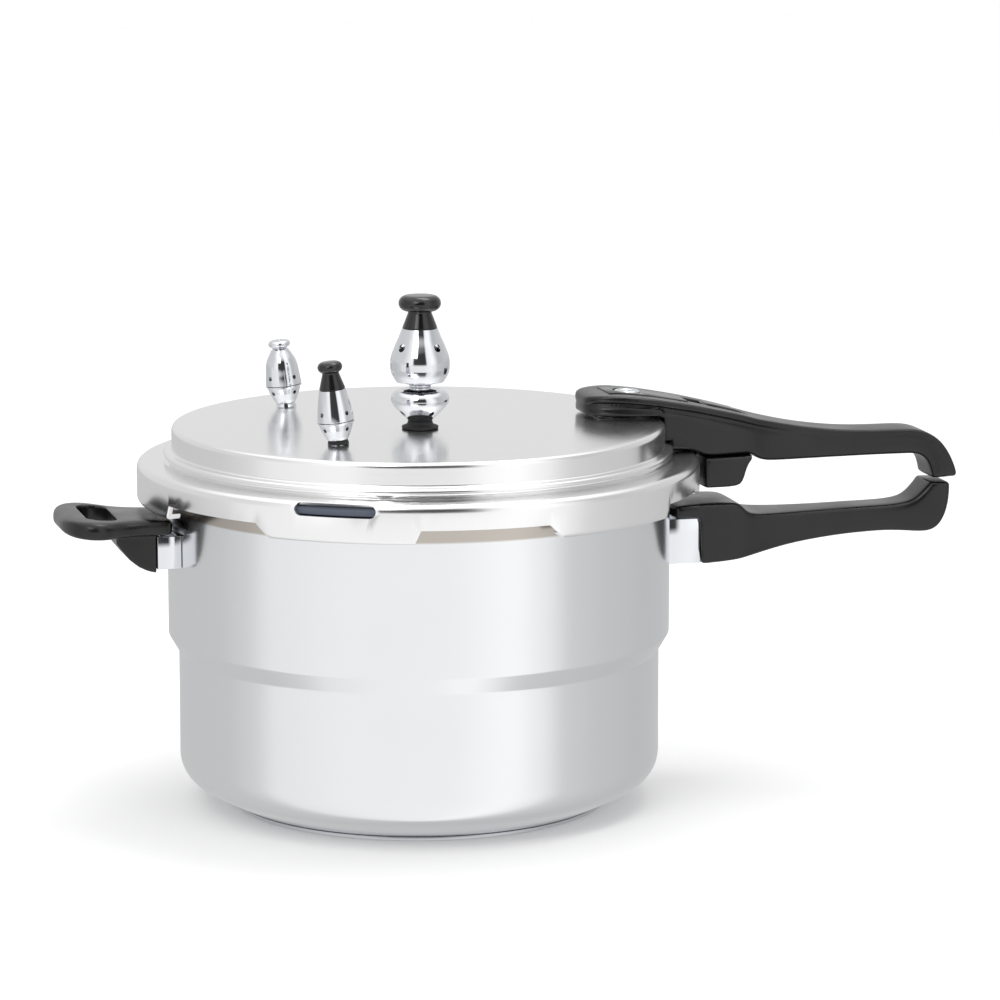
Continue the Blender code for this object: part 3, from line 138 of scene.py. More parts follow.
# %% [markdown]
# Three small helpers turn an outline into a mesh. The first rounds the
# corners of an outline, the second runs a smooth curve through points, and
# the third turns the outline about the upright axis, as a spinning lathe
# forms a pot.

# %% Outlines and turning
TURN_STEPS = 192
WELD = 0.000002


def eased(corners, closed=False, steps=5):
    """Rounds each corner (radius, height, fillet) of an outline."""
    points = []
    last = len(corners) - 1
    for index, (radius, height, fillet) in enumerate(corners):
        here = Vector((radius, height))
        if fillet == 0 or (not closed and index in (0, last)):
            points.append(here)
            continue
        before = Vector(corners[index - 1][:2]) - here
        after = Vector(corners[(index + 1) % len(corners)][:2]) - here
        opening = math.tan(before.angle(after) / 2)
        reach = min(fillet / opening, before.length * 0.49, after.length * 0.49)
        start = here + before.normalized() * reach
        end = here + after.normalized() * reach
        for step in range(steps + 1):
            t = step / steps
            points.append(start * (1 - t) ** 2 + here * 2 * t * (1 - t) + end * t ** 2)
    return points


def curved(points, steps=5):
    """A smooth curve through points of an outline."""
    line = [Vector(point) for point in points]
    line = [line[0] * 2 - line[1]] + line + [line[-1] * 2 - line[-2]]
    smooth = []
    for p0, p1, p2, p3 in zip(line, line[1:], line[2:], line[3:]):
        for step in range(steps):
            t = step / steps
            smooth.append(0.5 * (
                2 * p1 + (p2 - p0) * t + (2 * p0 - 5 * p1 + 4 * p2 - p3) * t ** 2
                + (3 * p1 - p0 - 3 * p2 + p3) * t ** 3
            ))
    return smooth + [line[-2]]


def arc(centre, radius, start, end, steps=10):
    """Points on an arc of an outline, between two angles in degrees."""
    points = []
    for step in range(steps + 1):
        angle = math.radians(start + (end - start) * step / steps)
        points.append(Vector(centre) + radius * Vector((math.cos(angle), math.sin(angle))))
    return points


def turned(outline, closed=False, steps=TURN_STEPS):
    """A bmesh in metres, turned about Z from (radius, height) points in millimetres."""
    bm = bmesh.new()
    verts = [bm.verts.new((point[0] * MM, 0.0, point[1] * MM)) for point in outline]
    edges = [bm.edges.new(pair) for pair in zip(verts, verts[1:])]
    if closed:
        edges.append(bm.edges.new((verts[-1], verts[0])))
    bmesh.ops.spin(
        bm, geom=verts + edges, cent=(0, 0, 0), axis=(0, 0, 1), dvec=(0, 0, 0),
        angle=2 * math.pi, steps=steps, use_merge=True, use_normal_flip=False, use_duplicate=False,
    )
    bmesh.ops.remove_doubles(bm, verts=bm.verts, dist=WELD)
    bmesh.ops.recalc_face_normals(bm, faces=bm.faces)
    return bm


# %% [markdown]
# A finished piece is shaded smooth with its real edges kept sharp, rides
# on its body, and stands for the node whose place it takes. The finish
# itself comes from a material made further down, so each piece only notes
# the finish's name here.

# %% Finishing a piece
wanted_finish = {}
SHARP = math.radians(32)


def as_object(name, bm):
    """A bmesh made an object at the origin."""
    mesh = bpy.data.meshes.new(name)
    bm.to_mesh(mesh)
    bm.free()
    piece = bpy.data.objects.new(name, mesh)
    bpy.context.scene.collection.objects.link(piece)
    return piece


def settle(piece):
    """Makes the modifiers' result the piece's own mesh."""
    bpy.context.view_layer.update()
    graph = bpy.context.evaluated_depsgraph_get()
    result = bpy.data.meshes.new_from_object(piece.evaluated_get(graph))
    piece.modifiers.clear()
    piece.data = result


def carve(piece, tool, operation="DIFFERENCE"):
    """Cuts a tool out of a piece, or joins it on, and throws the tool away."""
    cutter = as_object(piece.name + "_tool", tool)
    modifier = piece.modifiers.new("Carve", "BOOLEAN")
    modifier.operation = operation
    modifier.object = cutter
    settle(piece)
    bpy.data.objects.remove(cutter)


def break_edges(piece, width, segments=2):
    """Takes the sharpness off a piece's edges, as a deburring wheel does."""
    modifier = piece.modifiers.new("Edges", "BEVEL")
    modifier.width = width * MM
    modifier.segments = segments
    modifier.limit_method = "ANGLE"
    modifier.angle_limit = SHARP
    modifier.harden_normals = False
    modifier.use_clamp_overlap = True
    settle(piece)


def finish_piece(piece, body, node, finish):
    """Shades, hangs and dresses a piece that stands for a node."""
    piece.data.shade_smooth()
    piece.data.set_sharp_from_angle(angle=SHARP)
    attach(piece, body)
    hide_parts(node)
    wanted_finish[piece.name] = finish
    print(f"{piece.name}: {len(piece.data.polygons)} faces")
    return piece


# %% [markdown]
# The pot is drawn from one aluminium disc, so its outline is one line: the
# floor, the rounded heel, the lower wall, the step that the rack rests on,
# the upper wall and the flange that the lid locks under. The outline is spun
# round the axis first, because every cut is then made in a finished shell.

# %% Pot body
HEEL_R = 19.0
HEEL_LIFT = 7.8
WALL = 3.0
FLOOR_Z = BASE_Z + 4.0
STEP_LOW, STEP_HIGH = 89.0, 99.0
LUG_LOW_Z = RIM_Z - 9.7
heel_centre = (LOW_R - HEEL_R, BASE_Z + HEEL_R + HEEL_LIFT)
across = heel_centre[0] - BASE_R
rise = heel_centre[1] - BASE_Z
heel_end = math.degrees(math.atan2(rise, across) - math.asin(HEEL_R / math.hypot(across, rise))) - 90.0
inside = [Vector((0.0, FLOOR_Z)), Vector((heel_centre[0] - 24.0, FLOOR_Z))]
inside += reversed(arc(heel_centre, HEEL_R - WALL, 0.0, heel_end))
rim = eased([
    (LOW_R - WALL, STEP_LOW - 20.0, 0.0),
    (LOW_R - WALL, STEP_LOW + 2.0, 3.0),
    (POT_R - WALL, STEP_HIGH + 2.0, 3.0),
    (POT_R - WALL, RIM_Z, 1.2),
    (LUG_R, RIM_Z, 1.8),
    (LUG_R, LUG_LOW_Z, 0.8),
    (LUG_R - SHEET, LUG_LOW_Z, 0.8),
    (LUG_R - SHEET, RIM_Z - SHEET, 1.2),
    (POT_R, RIM_Z - SHEET, 2.2),
    (POT_R, STEP_HIGH, 2.2),
    (LOW_R, STEP_LOW, 2.2),
    (LOW_R, STEP_LOW - 20.0, 0.0),
])
outside = arc(heel_centre, HEEL_R, 0.0, heel_end)
foot = eased([(*outside[-1], 0.0), (BASE_R, BASE_Z, 1.0), (0.0, BASE_Z, 0.0)])
pot_outline = inside + rim + outside[:-1] + foot
print("pot outline points:", len(pot_outline))

# %% [markdown]
# The flange is cut away in six places, so that the lid's lugs can drop past
# the pot's. A gap follows the circle, so its tool is a small section spun
# through part of a turn. A plain box makes the notch for the lock's bolt.

# %% Gaps and notch in the flange


def sector_tool(inner, outer, low, high, half_angle, centre, slopes=(0.0, 0.0), steps=16):
    """A block bent round the axis; each end may slope out, in degrees per millimetre down."""
    bm = bmesh.new()
    corners = [(inner, low), (outer, low), (outer, high), (inner, high)]
    verts = [bm.verts.new((radius * MM, 0.0, height * MM)) for radius, height in corners]
    face = bm.faces.new(verts)
    bmesh.ops.spin(
        bm, geom=[face, *face.edges, *face.verts], cent=(0, 0, 0), axis=(0, 0, 1), dvec=(0, 0, 0),
        angle=math.radians(2 * half_angle), steps=steps, use_merge=False,
        use_normal_flip=False, use_duplicate=False,
    )
    for vert in bm.verts:
        radius = math.hypot(vert.co.x, vert.co.y)
        share = math.degrees(math.atan2(vert.co.y, vert.co.x)) / half_angle - 1.0
        slope = slopes[0] if share < 0 else slopes[1]
        reach = half_angle + slope * (high - vert.co.z / MM)
        turn = math.radians(centre + share * reach)
        vert.co.x, vert.co.y = radius * math.cos(turn), radius * math.sin(turn)
    bmesh.ops.remove_doubles(bm, verts=bm.verts, dist=WELD)
    if all(len(edge.link_faces) < 2 for edge in face.edges):
        bmesh.ops.contextual_create(bm, geom=list(face.edges))
    bmesh.ops.holes_fill(bm, edges=bm.edges, sides=4)
    bmesh.ops.recalc_face_normals(bm, faces=bm.faces)
    return bm


LUG_COUNT = 6
LUG_PITCH = 360.0 / LUG_COUNT
POT_GAP_HALF = 15.0
pot = as_object("pot_shell", turned(pot_outline))
for index in range(LUG_COUNT):
    carve(pot, sector_tool(
        LUG_R - 4.2, LUG_R + 3.0, LUG_LOW_Z - 3.0, RIM_Z + 3.0, POT_GAP_HALF, LUG_PITCH * (index + 0.5),
    ))


def block_tool(low, high):
    """A box between two corners in millimetres."""
    bm = bmesh.new()
    bmesh.ops.create_cube(bm, size=1.0)
    size = [(b - a) * MM for a, b in zip(low, high)]
    middle = [(a + b) / 2 * MM for a, b in zip(low, high)]
    bmesh.ops.scale(bm, vec=size, verts=bm.verts)
    bmesh.ops.translate(bm, vec=middle, verts=bm.verts)
    return bm


BOLT_HALF_ROOM = 4.5
bolt_low, bolt_high = box_mm("lock_bolt")
carve(pot, block_tool(
    (LUG_R - SHEET - 0.6, -BOLT_HALF_ROOM, bolt_low.z - 4.4), (LUG_R + 1.0, BOLT_HALF_ROOM, RIM_Z - SHEET),
))
finish_piece(pot, "pot", "pot_body", "wall_polish_and_painted_shade")

# %% [markdown]
# A magnetic steel disc is pressed on under the base so that the pot works
# on an induction hob. Only its rounded edge shows.

# %% Base plate
plate_top = box_mm("induction_plate")[1].z
plate = as_object("base_plate", turned(eased([
    (0.0, plate_top, 0.0), (BASE_R, plate_top, 0.7), (BASE_R, 0.0, 0.9), (0.0, 0.0, 0.0),
])))
finish_piece(plate, "pot", "induction_plate", "plate_steel")

# %% [markdown]
# The lid is one pressing too. Its crown is slightly domed, a bead runs
# round the foot of its wall, and the skirt ends in six lugs whose lower
# edges curl in under the pot's. The gaps between the lugs are cut first:
# one end of each is steeper than the other.

# %% Lid shell


def lid_top(radius):
    """Height of the domed crown at a distance from its centre."""
    return CROWN_Z + DOME * (1.0 - (radius / CROWN_R) ** 2)


LIP_REACH, LIP_THICK = 8.5, 2.8
inner_skirt = SKIRT_R - SHEET
lip_r = SKIRT_R - LIP_REACH
crown = [Vector((CROWN_R * share / 8, lid_top(CROWN_R * share / 8))) for share in range(8)]
shoulder = eased([
    (CROWN_R * 0.97, lid_top(CROWN_R * 0.97), 0.0),
    (LID_R, CROWN_Z, 3.2),
    (LID_R, SHOULDER_Z + 6.6, 1.2),
    (LID_R + 2.2, SHOULDER_Z + 6.0, 0.8),
], steps=8)
bead = arc((LID_R + 2.6, SHOULDER_Z + 4.0), 2.0, 90.0, -70.0, 12)
skirt = eased([
    (LID_R + 2.0, SHOULDER_Z + 1.0, 0.0),
    (LID_R + 4.2, SHOULDER_Z, 1.6),
    (SKIRT_R, SHOULDER_Z, 4.8),
    (SKIRT_R, LID_LUG_Z, 2.8),
    (lip_r, LID_LUG_Z, 0.8),
    (lip_r, LID_LUG_Z + LIP_THICK, 0.8),
    (inner_skirt, LID_LUG_Z + LIP_THICK, 1.0),
    (inner_skirt, SHOULDER_Z - SHEET, 3.0),
    (LID_R + 1.0, SHOULDER_Z - SHEET, 1.5),
    (LID_R - SHEET, SHOULDER_Z, 2.0),
    (LID_R - SHEET, CROWN_Z - SHEET, 2.0),
    (CROWN_R * 0.66, lid_top(CROWN_R * 0.66) - SHEET, 0.0),
    (0.0, lid_top(0.0) - SHEET, 0.0),
], steps=8)
lid = as_object("lid_pressing", turned(crown + shoulder + bead + skirt))
print("lid outline points:", len(crown + shoulder + bead + skirt))
SKIRT_EDGE_Z = SHOULDER_Z - 14.0
LUG_TOP_HALF = 17.0
LUG_SLOPES = (0.17, 0.42)
for index in range(LUG_COUNT):
    carve(lid, sector_tool(
        lip_r - 4.0, SKIRT_R + 4.0, LID_LUG_Z - 4.0, SKIRT_EDGE_Z,
        LUG_PITCH / 2 - LUG_TOP_HALF, LUG_PITCH * (index + 0.5), LUG_SLOPES,
    ))

# %% [markdown]
# Then come the overpressure window, a round-ended slot that bends with the
# skirt, the hole for the lock's bolt, and the round holes in the crown for
# the pressure indicator, the vent pipe and the two side valves, which lean.

# %% Window and holes in the lid


def slot_tool(half_length, half_height, centre_z, azimuth):
    """A round-ended slot bent round the skirt, at an azimuth in degrees."""
    bm = bmesh.new()
    bmesh.ops.create_circle(bm, cap_ends=True, segments=48, radius=half_height * MM)
    for vert in bm.verts:
        level = vert.co.y
        along = vert.co.x + math.copysign((half_length - half_height) * MM, vert.co.x)
        vert.co = ((SKIRT_R - 6.0) * MM, along, level + centre_z * MM)
    new = bmesh.ops.extrude_face_region(bm, geom=list(bm.faces))
    moved = [item for item in new["geom"] if isinstance(item, bmesh.types.BMVert)]
    bmesh.ops.translate(bm, vec=(10.0 * MM, 0, 0), verts=moved)
    for vert in bm.verts:
        turn = math.radians(azimuth) + vert.co.y / (SKIRT_R * MM)
        radius = vert.co.x
        vert.co.x, vert.co.y = radius * math.cos(turn), radius * math.sin(turn)
    bmesh.ops.recalc_face_normals(bm, faces=bm.faces)
    return bm


WINDOW_AZIMUTH, WINDOW_SPAN = -120.0, 16.5
WINDOW_HALF_TALL, WINDOW_DOWN = 3.6, 4.1
window_half = math.radians(WINDOW_SPAN) / 2 * SKIRT_R
carve(lid, slot_tool(window_half, WINDOW_HALF_TALL, SHOULDER_Z - WINDOW_DOWN, WINDOW_AZIMUTH))
carve(lid, block_tool(
    (SKIRT_R - SHEET - 2.0, -BOLT_HALF_ROOM, bolt_low.z - 0.8),
    (SKIRT_R + 2.0, BOLT_HALF_ROOM, bolt_low.z + 3.4),
))
break_edges(lid, 0.35)


def rod_tool(radius, low, high, matrix=Matrix()):
    """A cylinder along local Z, between two heights in millimetres."""
    bm = bmesh.new()
    bmesh.ops.create_cone(
        bm, cap_ends=True, segments=48, radius1=radius * MM, radius2=radius * MM, depth=(high - low) * MM,
    )
    bmesh.ops.translate(bm, vec=(0, 0, (low + high) / 2 * MM), verts=bm.verts)
    bmesh.ops.transform(bm, matrix=matrix, verts=bm.verts)
    return bm


VALVE_X, VALVE_Y, VALVE_LEAN = -62.0, 69.5, 6.0


def valve_place(side):
    """Where a side valve stands on the crown."""
    height = lid_top(math.hypot(VALVE_X, VALVE_Y))
    spot = Matrix.Translation((VALVE_X * MM, side * VALVE_Y * MM, height * MM))
    return spot @ Matrix.Rotation(math.radians(-VALVE_LEAN), 4, "Y")


FLOAT_HOLE_R, VENT_HOLE_R, VALVE_HOLE_R = 5.5, 5.3, 4.5
for node, radius in (("float_bush", FLOAT_HOLE_R), ("vent_pipe_nut", VENT_HOLE_R)):
    middle = centre_mm(node)
    carve(lid, rod_tool(radius, CROWN_TOP - 9.0, CROWN_TOP + 3.0, upright(middle.x, middle.y)))
for side in (-1, 1):
    carve(lid, rod_tool(VALVE_HOLE_R, -7.0, 3.0, valve_place(side)))
finish_piece(lid, "lid", "lid_shell", "lid_polish")

# %% [markdown]
# The silicone ring is seen through the window. Its section is a C that
# opens inwards, so steam pushes its two leaves against rim and lid.

# %% Sealing ring
seal_low, seal_high = (corner.z for corner in box_mm("sealing_gasket"))
seal_out = box_mm("sealing_gasket")[1].x
seal_in = POT_R + 1.5
leaf = (seal_high - seal_low) / 3
seal = as_object("sealing_ring", turned(eased([
    (seal_in, seal_high, 0.3), (seal_out, seal_high, 1.6), (seal_out, seal_low, 1.0),
    (seal_in, seal_low, 0.3), (seal_in, seal_low + leaf, 0.3),
    (seal_out - 3.0, seal_low + leaf, 0.6), (seal_out - 3.0, seal_high - leaf, 0.6),
    (seal_in, seal_high - leaf, 0.3),
], closed=True), closed=True))
finish_piece(seal, "lid", "sealing_gasket", "silicone")

# %% [markdown]
# The handles are black phenolic, moulded in one piece. Each is a stack of
# rounded sections from root to tip, bridged and subdivided so that the light
# runs along it without a break. Pockets are cut, and a fine remesh then gives
# every edge the soft radius that moulding leaves. A table row holds x, top,
# bottom, half width and corner radius; a sixth number leans the section.

# %% Handle sections


def section(top, bottom, half_width, radius):
    """Points round one section: a rounded rectangle between two points of the side view."""
    top = Vector((top[0], 0.0, top[1]))
    bottom = Vector((bottom[0], 0.0, bottom[1]))
    middle = (top + bottom) / 2
    up = (top - bottom).normalized()
    half_height = (top - bottom).length / 2
    radius = min(radius, half_height * 0.9, half_width * 0.9)
    points = []
    for corner, (side, level) in enumerate(((1, 1), (-1, 1), (-1, -1), (1, -1))):
        for offset in arc((0.0, 0.0), radius, 90 * corner, 90 * corner + 90, 3):
            height = level * (half_height - radius) + offset.y
            points.append(middle + up * height + Vector((0, side * (half_width - radius) + offset.x, 0)))
    return points


def stacked(table):
    """Table rows as (top, bottom, half width, corner), with points of the side view."""
    rows = []
    for x, top, bottom, half_width, radius, *lean in table:
        rows.append(((x, top), (x + sum(lean), bottom), half_width, radius))
    return rows


def lofted(sections, start, level, side=1):
    """A bmesh of bridged sections, each a (top, bottom, half width, corner)."""
    bm = bmesh.new()
    loops = []
    for top, bottom, half_width, radius in sections:
        ring = section(
            (start + top[0], level + top[1]), (start + bottom[0], level + bottom[1]), half_width, radius,
        )
        verts = [bm.verts.new((side * p.x * MM, p.y * MM, p.z * MM)) for p in ring]
        loops.append([bm.edges.new((a, b)) for a, b in zip(verts, verts[1:] + verts[:1])])
    for first, second in zip(loops, loops[1:]):
        bmesh.ops.bridge_loops(bm, edges=first + second)
    for end in (loops[0], loops[-1]):
        bmesh.ops.contextual_create(bm, geom=end)
    bmesh.ops.recalc_face_normals(bm, faces=bm.faces)
    return bm


def subdivided(piece, levels=2):
    """Smooths a cage with Catmull-Clark subdivision."""
    modifier = piece.modifiers.new("Smooth", "SUBSURF")
    modifier.levels = levels
    modifier.render_levels = levels
    settle(piece)


def moulded(piece, grain, passes):
    """Remeshes at a grain in millimetres and relaxes the surface, for soft moulded edges."""
    remesh = piece.modifiers.new("Grain", "REMESH")
    remesh.mode = "VOXEL"
    remesh.voxel_size = grain * MM
    relax = piece.modifiers.new("Relax", "SMOOTH")
    relax.factor = 0.5
    relax.iterations = passes
    settle(piece)


# %% [markdown]
# The lower long handle hides the end of its bracket under a raised lip,
# dips to a flat grip and turns up at the tip to meet the upper one. It gets
# a well for its screw and a slot for the bracket's tongue.

# %% Lower long handle
POT_HANDLE = (
    (-16.4, 7.0, 0.3, 24.0, 2.0),
    (-12.0, 8.2, 0.3, 24.5, 2.5),
    (-1.2, 8.5, 0.3, 24.5, 2.5),
    (0.2, 8.5, 0.3, 24.5, 2.5),
    (0.4, 8.5, -26.7, 24.2, 3.0),
    (2.0, 8.6, -26.8, 24.1, 3.0),
    (12.0, 8.6, -26.6, 23.6, 4.0),
    (22.0, 8.5, -26.0, 22.6, 4.0),
    (26.0, 6.6, -25.4, 22.1, 4.0, -0.2),
    (29.0, 3.0, -24.8, 21.5, 4.0),
    (34.0, 0.7, -23.8, 20.2, 4.0),
    (42.0, 0.2, -22.2, 18.2, 4.0),
    (54.0, 0.1, -19.8, 15.9, 4.0),
    (69.0, 0.3, -17.7, 14.1, 4.0),
    (86.0, 0.7, -15.9, 13.2, 4.0),
    (104.0, 1.1, -14.8, 12.7, 4.0),
    (121.0, 1.4, -14.5, 12.7, 4.0),
    (130.0, 2.6, -16.0, 13.0, 4.0, 5.0),
    (134.5, 4.9, -16.3, 13.4, 4.0, 9.7),
    (138.0, 8.2, -12.6, 13.8, 4.0, 11.9),
    (140.5, 10.8, -5.4, 14.2, 4.0, 13.1),
    (142.0, 12.6, 3.6, 14.5, 4.0, 13.4),
    (142.8, 13.2, 12.2, 14.5, 3.0, 12.5),
    (143.0, 13.6, 13.5, 14.3, 3.0, 12.1),
)
BRACKET_END = 161.0
SCREW_WELL_R = 4.3
TONGUE_HALF = 12.3
lip_z = box_mm("pot_bracket")[1].z
lower_handle = as_object("lower_handle_moulding", lofted(stacked(POT_HANDLE), BRACKET_END, lip_z))
subdivided(lower_handle)
screw_low = box_mm("pot_handle_screw")[0].z
screw_at = upright(centre_mm("pot_handle_screw").x)
carve(lower_handle, rod_tool(SCREW_WELL_R, screw_low - 9.0, screw_low + 2.6, screw_at))
tongue_mid = centre_mm("pot_bracket").z
carve(lower_handle, block_tool(
    (BRACKET_END - 3.0, -TONGUE_HALF, tongue_mid - 0.3),
    (BRACKET_END + 25.3, TONGUE_HALF, tongue_mid + 2.3),
))
moulded(lower_handle, 0.8, 4)
finish_piece(lower_handle, "pot", "pot_handle", "bakelite")

# %% [markdown]
# The helper handle is a loop for two fingers, on a root that fills the end
# of its bracket. The loop is a stack of sections like the long handles, and
# a round-ended slot is cut through it.

# %% Helper handle
HELPER_LOOP = (
    (1.6, 8.9, 0.6, 23.5, 2.5),
    (8.0, 9.6, 0.6, 24.5, 3.0),
    (16.0, 10.0, 0.6, 25.5, 4.0),
    (25.0, 10.4, 0.6, 26.8, 4.6),
    (33.0, 10.9, 0.8, 30.5, 5.0),
    (38.6, 11.4, 1.0, 35.0, 5.2),
    (44.2, 11.9, 1.2, 38.0, 5.4),
    (49.8, 12.3, 1.5, 38.4, 5.5),
    (55.4, 12.5, 1.9, 36.0, 5.4),
    (59.8, 12.3, 2.4, 31.0, 5.0),
    (63.2, 11.4, 3.4, 23.5, 4.0),
    (65.4, 9.6, 5.2, 13.0, 2.2),
)
HELPER_ROOT = (
    (12.4, 3.0, -21.0, 20.5, 2.0),
    (17.0, 3.0, -19.8, 20.3, 2.0),
    (22.0, 3.0, -17.4, 19.8, 2.0),
    (27.0, 3.2, -13.4, 19.0, 2.0),
    (31.5, 3.4, -8.0, 18.2, 2.0),
    (35.0, 3.6, -3.2, 17.4, 2.0),
    (38.5, 4.0, 2.2, 16.5, 0.7),
)
helper_top = box_mm("helper_bracket")[1].z
helper = as_object("helper_moulding", lofted(stacked(HELPER_LOOP), POT_R, helper_top, side=-1))
subdivided(helper)
carve(helper, lofted(stacked(HELPER_ROOT), POT_R, helper_top, side=-1), "UNION")
SLOT_OUT, SLOT_HALF, SLOT_R = 42.8, 17.0, 8.5
slot_x = POT_R + SLOT_OUT
finger_slot = bmesh.new()
bmesh.ops.create_circle(finger_slot, cap_ends=True, segments=48, radius=SLOT_R * MM)
for vert in finger_slot.verts:
    stretch = math.copysign(SLOT_HALF * MM, vert.co.y)
    vert.co = (vert.co.x - slot_x * MM, vert.co.y + stretch, (helper_top - 5.0) * MM)
wall = bmesh.ops.extrude_face_region(finger_slot, geom=list(finger_slot.faces))
lifted = [item for item in wall["geom"] if isinstance(item, bmesh.types.BMVert)]
bmesh.ops.translate(finger_slot, vec=(0, 0, 25.0 * MM), verts=lifted)
bmesh.ops.recalc_face_normals(finger_slot, faces=finger_slot.faces)
carve(helper, finger_slot)
head_x = box_mm("helper_handle_screw")[0].x
sideways = Matrix.Translation((head_x * MM, 0, centre_mm("helper_handle_screw").z * MM))
carve(helper, rod_tool(SCREW_WELL_R, -20.0, 2.6, sideways @ Matrix.Rotation(math.pi / 2, 4, "Y")))
moulded(helper, 0.7, 9)
finish_piece(helper, "pot", "helper_handle", "bakelite")

# %% [markdown]
# The upper long handle lies over the crown's edge, where it covers the
# pressure indicator, and hooks down over the lower one. It's made as three
# stacks of sections: a thin cover that overhangs, a narrow neck under its rim,
# and the body. Joined, they leave the dark groove that runs below the cover
# and fades out along the grip.

# %% Upper long handle
LID_HANDLE = (
    (-48.6, 11.6, 3.0, 9.0, 1.2),
    (-46.4, 13.3, 1.9, 15.0, 2.4),
    (-40.5, 14.2, 1.6, 20.5, 3.0),
    (-31.0, 14.2, 1.5, 24.0, 4.0),
    (-25.0, 13.9, 1.4, 25.4, 4.0),
    (-13.0, 12.4, 1.4, 26.0, 4.0),
    (-7.0, 11.5, 1.4, 26.0, 4.0),
    (-5.6, 11.2, 1.2, 26.0, 4.0),
    (-5.1, 11.1, -18.6, 26.0, 4.0),
    (-3.0, 10.8, -18.6, 26.0, 4.0),
    (15.0, 7.4, -18.8, 25.8, 4.0),
    (20.0, 6.2, -23.1, 25.5, 4.0),
    (32.0, 3.4, -23.1, 24.6, 4.0),
    (43.0, 0.6, -23.1, 23.0, 4.0),
    (50.6, -1.8, -23.3, 21.2, 4.0),
    (53.6, -2.7, -26.4, 20.0, 4.0),
    (60.0, -4.3, -28.6, 17.6, 4.0),
    (72.0, -7.1, -28.9, 14.8, 4.0),
    (87.0, -9.9, -28.9, 13.2, 4.0),
    (107.0, -12.5, -28.7, 12.7, 4.0),
    (127.0, -13.3, -28.5, 12.6, 4.0),
    (147.0, -13.1, -28.5, 12.9, 4.0),
    (154.8, -14.1, -28.5, 13.3, 4.0, -3.0),
    (162.2, -17.1, -29.8, 13.8, 4.0, -6.0),
    (168.8, -22.5, -32.7, 14.3, 4.0, -9.7),
    (173.6, -30.5, -36.9, 14.8, 4.0, -12.9),
    (176.5, -38.0, -40.6, 15.2, 4.0, -14.9),
    (177.5, -43.6, -43.8, 15.2, 3.0, -15.3),
)
print("sections of the upper handle:", len(LID_HANDLE))

# %% [markdown]
# Each stack takes its rows from the same table, between two depths under the
# top, so the three can't drift apart.

# %% Cover, groove and body
COVER, GROOVE, OVERHANG, NECK_INSET = 4.2, 1.5, 0.9, 2.8
GROOVE_FADES = (48.0, 104.0)


def layer(table, top_at, bottom_at, inset, corner):
    """Rows of a handle table between two depths under its top, set in at the sides."""
    rows = []
    for top, bottom, half_width, radius in stacked(table):
        share = (top[0] - GROOVE_FADES[0]) / (GROOVE_FADES[1] - GROOVE_FADES[0])
        fade = 1.0 - min(max(share, 0.0), 1.0)
        top, bottom = Vector(top), Vector(bottom)
        down = (bottom - top).normalized()
        reach = (bottom - top).length
        first = top + down * min(top_at[0] + top_at[1] * fade, reach * 0.5)
        last = bottom if bottom_at is None else top + down * min(bottom_at, reach * 0.9)
        rows.append((first, last, half_width - inset * fade, min(radius, corner)))
    return rows


upper_handle = as_object("upper_handle_moulding", lofted(
    layer(LID_HANDLE, (COVER * 0.8, COVER * 0.2 + GROOVE), None, OVERHANG, 4.0), POT_R, CROWN_Z,
))
subdivided(upper_handle)
for rows in (
    layer(LID_HANDLE, (0.0, 0.0), COVER, 0.0, 2.2),
    layer(LID_HANDLE, (COVER * 0.5, 0.0), COVER + GROOVE + 4.0, NECK_INSET, 2.0),
):
    stack = as_object("handle_stack", lofted(rows, POT_R, CROWN_Z))
    subdivided(stack)
    bm = bmesh.new()
    bm.from_mesh(stack.data)
    bpy.data.objects.remove(stack)
    carve(upper_handle, bm, "UNION")

# %% [markdown]
# The handle's underside follows the lid: one cut clears the crown, a wider
# one clears the bead. From above come the well of the indicator's ring and
# the shaft of its pin, and then the channel that the button slides in, the
# slot for its stem and the room for the bolt. Each is as long as the lock
# travels.

# %% Pockets of the upper handle
carve(upper_handle, rod_tool(LID_R + 0.6, SHOULDER_Z - 2.0, CROWN_Z + 1.35))
carve(upper_handle, rod_tool(LID_R + 5.1, SHOULDER_Z - 1.0, SHOULDER_Z + 7.5))
ring_low, ring_high = box_mm("indicator_ring")
ring_x = centre_mm("indicator_ring").x
ring_r = (ring_high.x - ring_low.x) / 2
ring_at = upright(ring_x)
PIN_SHAFT_R = 2.8
carve(upper_handle, rod_tool(ring_r + 0.3, ring_low.z - 0.3, ring_low.z + 9.0, ring_at))
carve(upper_handle, rod_tool(PIN_SHAFT_R, CROWN_Z, ring_low.z + 3.0, ring_at))
LOCK_TRAVEL = frame["record"]["behaviour"]["joints"][-1]["range_m"][1] / MM
button_low, button_high = box_mm("slide_button")
BUTTON_FLOOR = CROWN_Z - 4.5
STEM_HALF, ROOM = 4.1, 0.6
for low, high in (
    ((button_low.x - LOCK_TRAVEL - ROOM, button_low.y - ROOM, BUTTON_FLOOR),
     (button_high.x + ROOM, button_high.y + ROOM, CROWN_Z + 20.0)),
    ((button_low.x + 1.5 - LOCK_TRAVEL - ROOM, -STEM_HALF, bolt_high.z - 1.0),
     (button_low.x + 11.1, STEM_HALF, BUTTON_FLOOR + 1.0)),
    ((bolt_low.x - LOCK_TRAVEL, -STEM_HALF, SHOULDER_Z - 1.0),
     (bolt_high.x + ROOM, STEM_HALF, bolt_high.z + 0.3)),
):
    carve(upper_handle, block_tool(low, high))
moulded(upper_handle, 0.75, 3)
finish_piece(upper_handle, "lid", "lid_handle", "bakelite")

# %% [markdown]
# A block under the handle's root clamps the steel strip. Its toe runs out
# under the grip in a hollow curve. Two wells take the screws' heads, and a
# channel lets the bolt through.

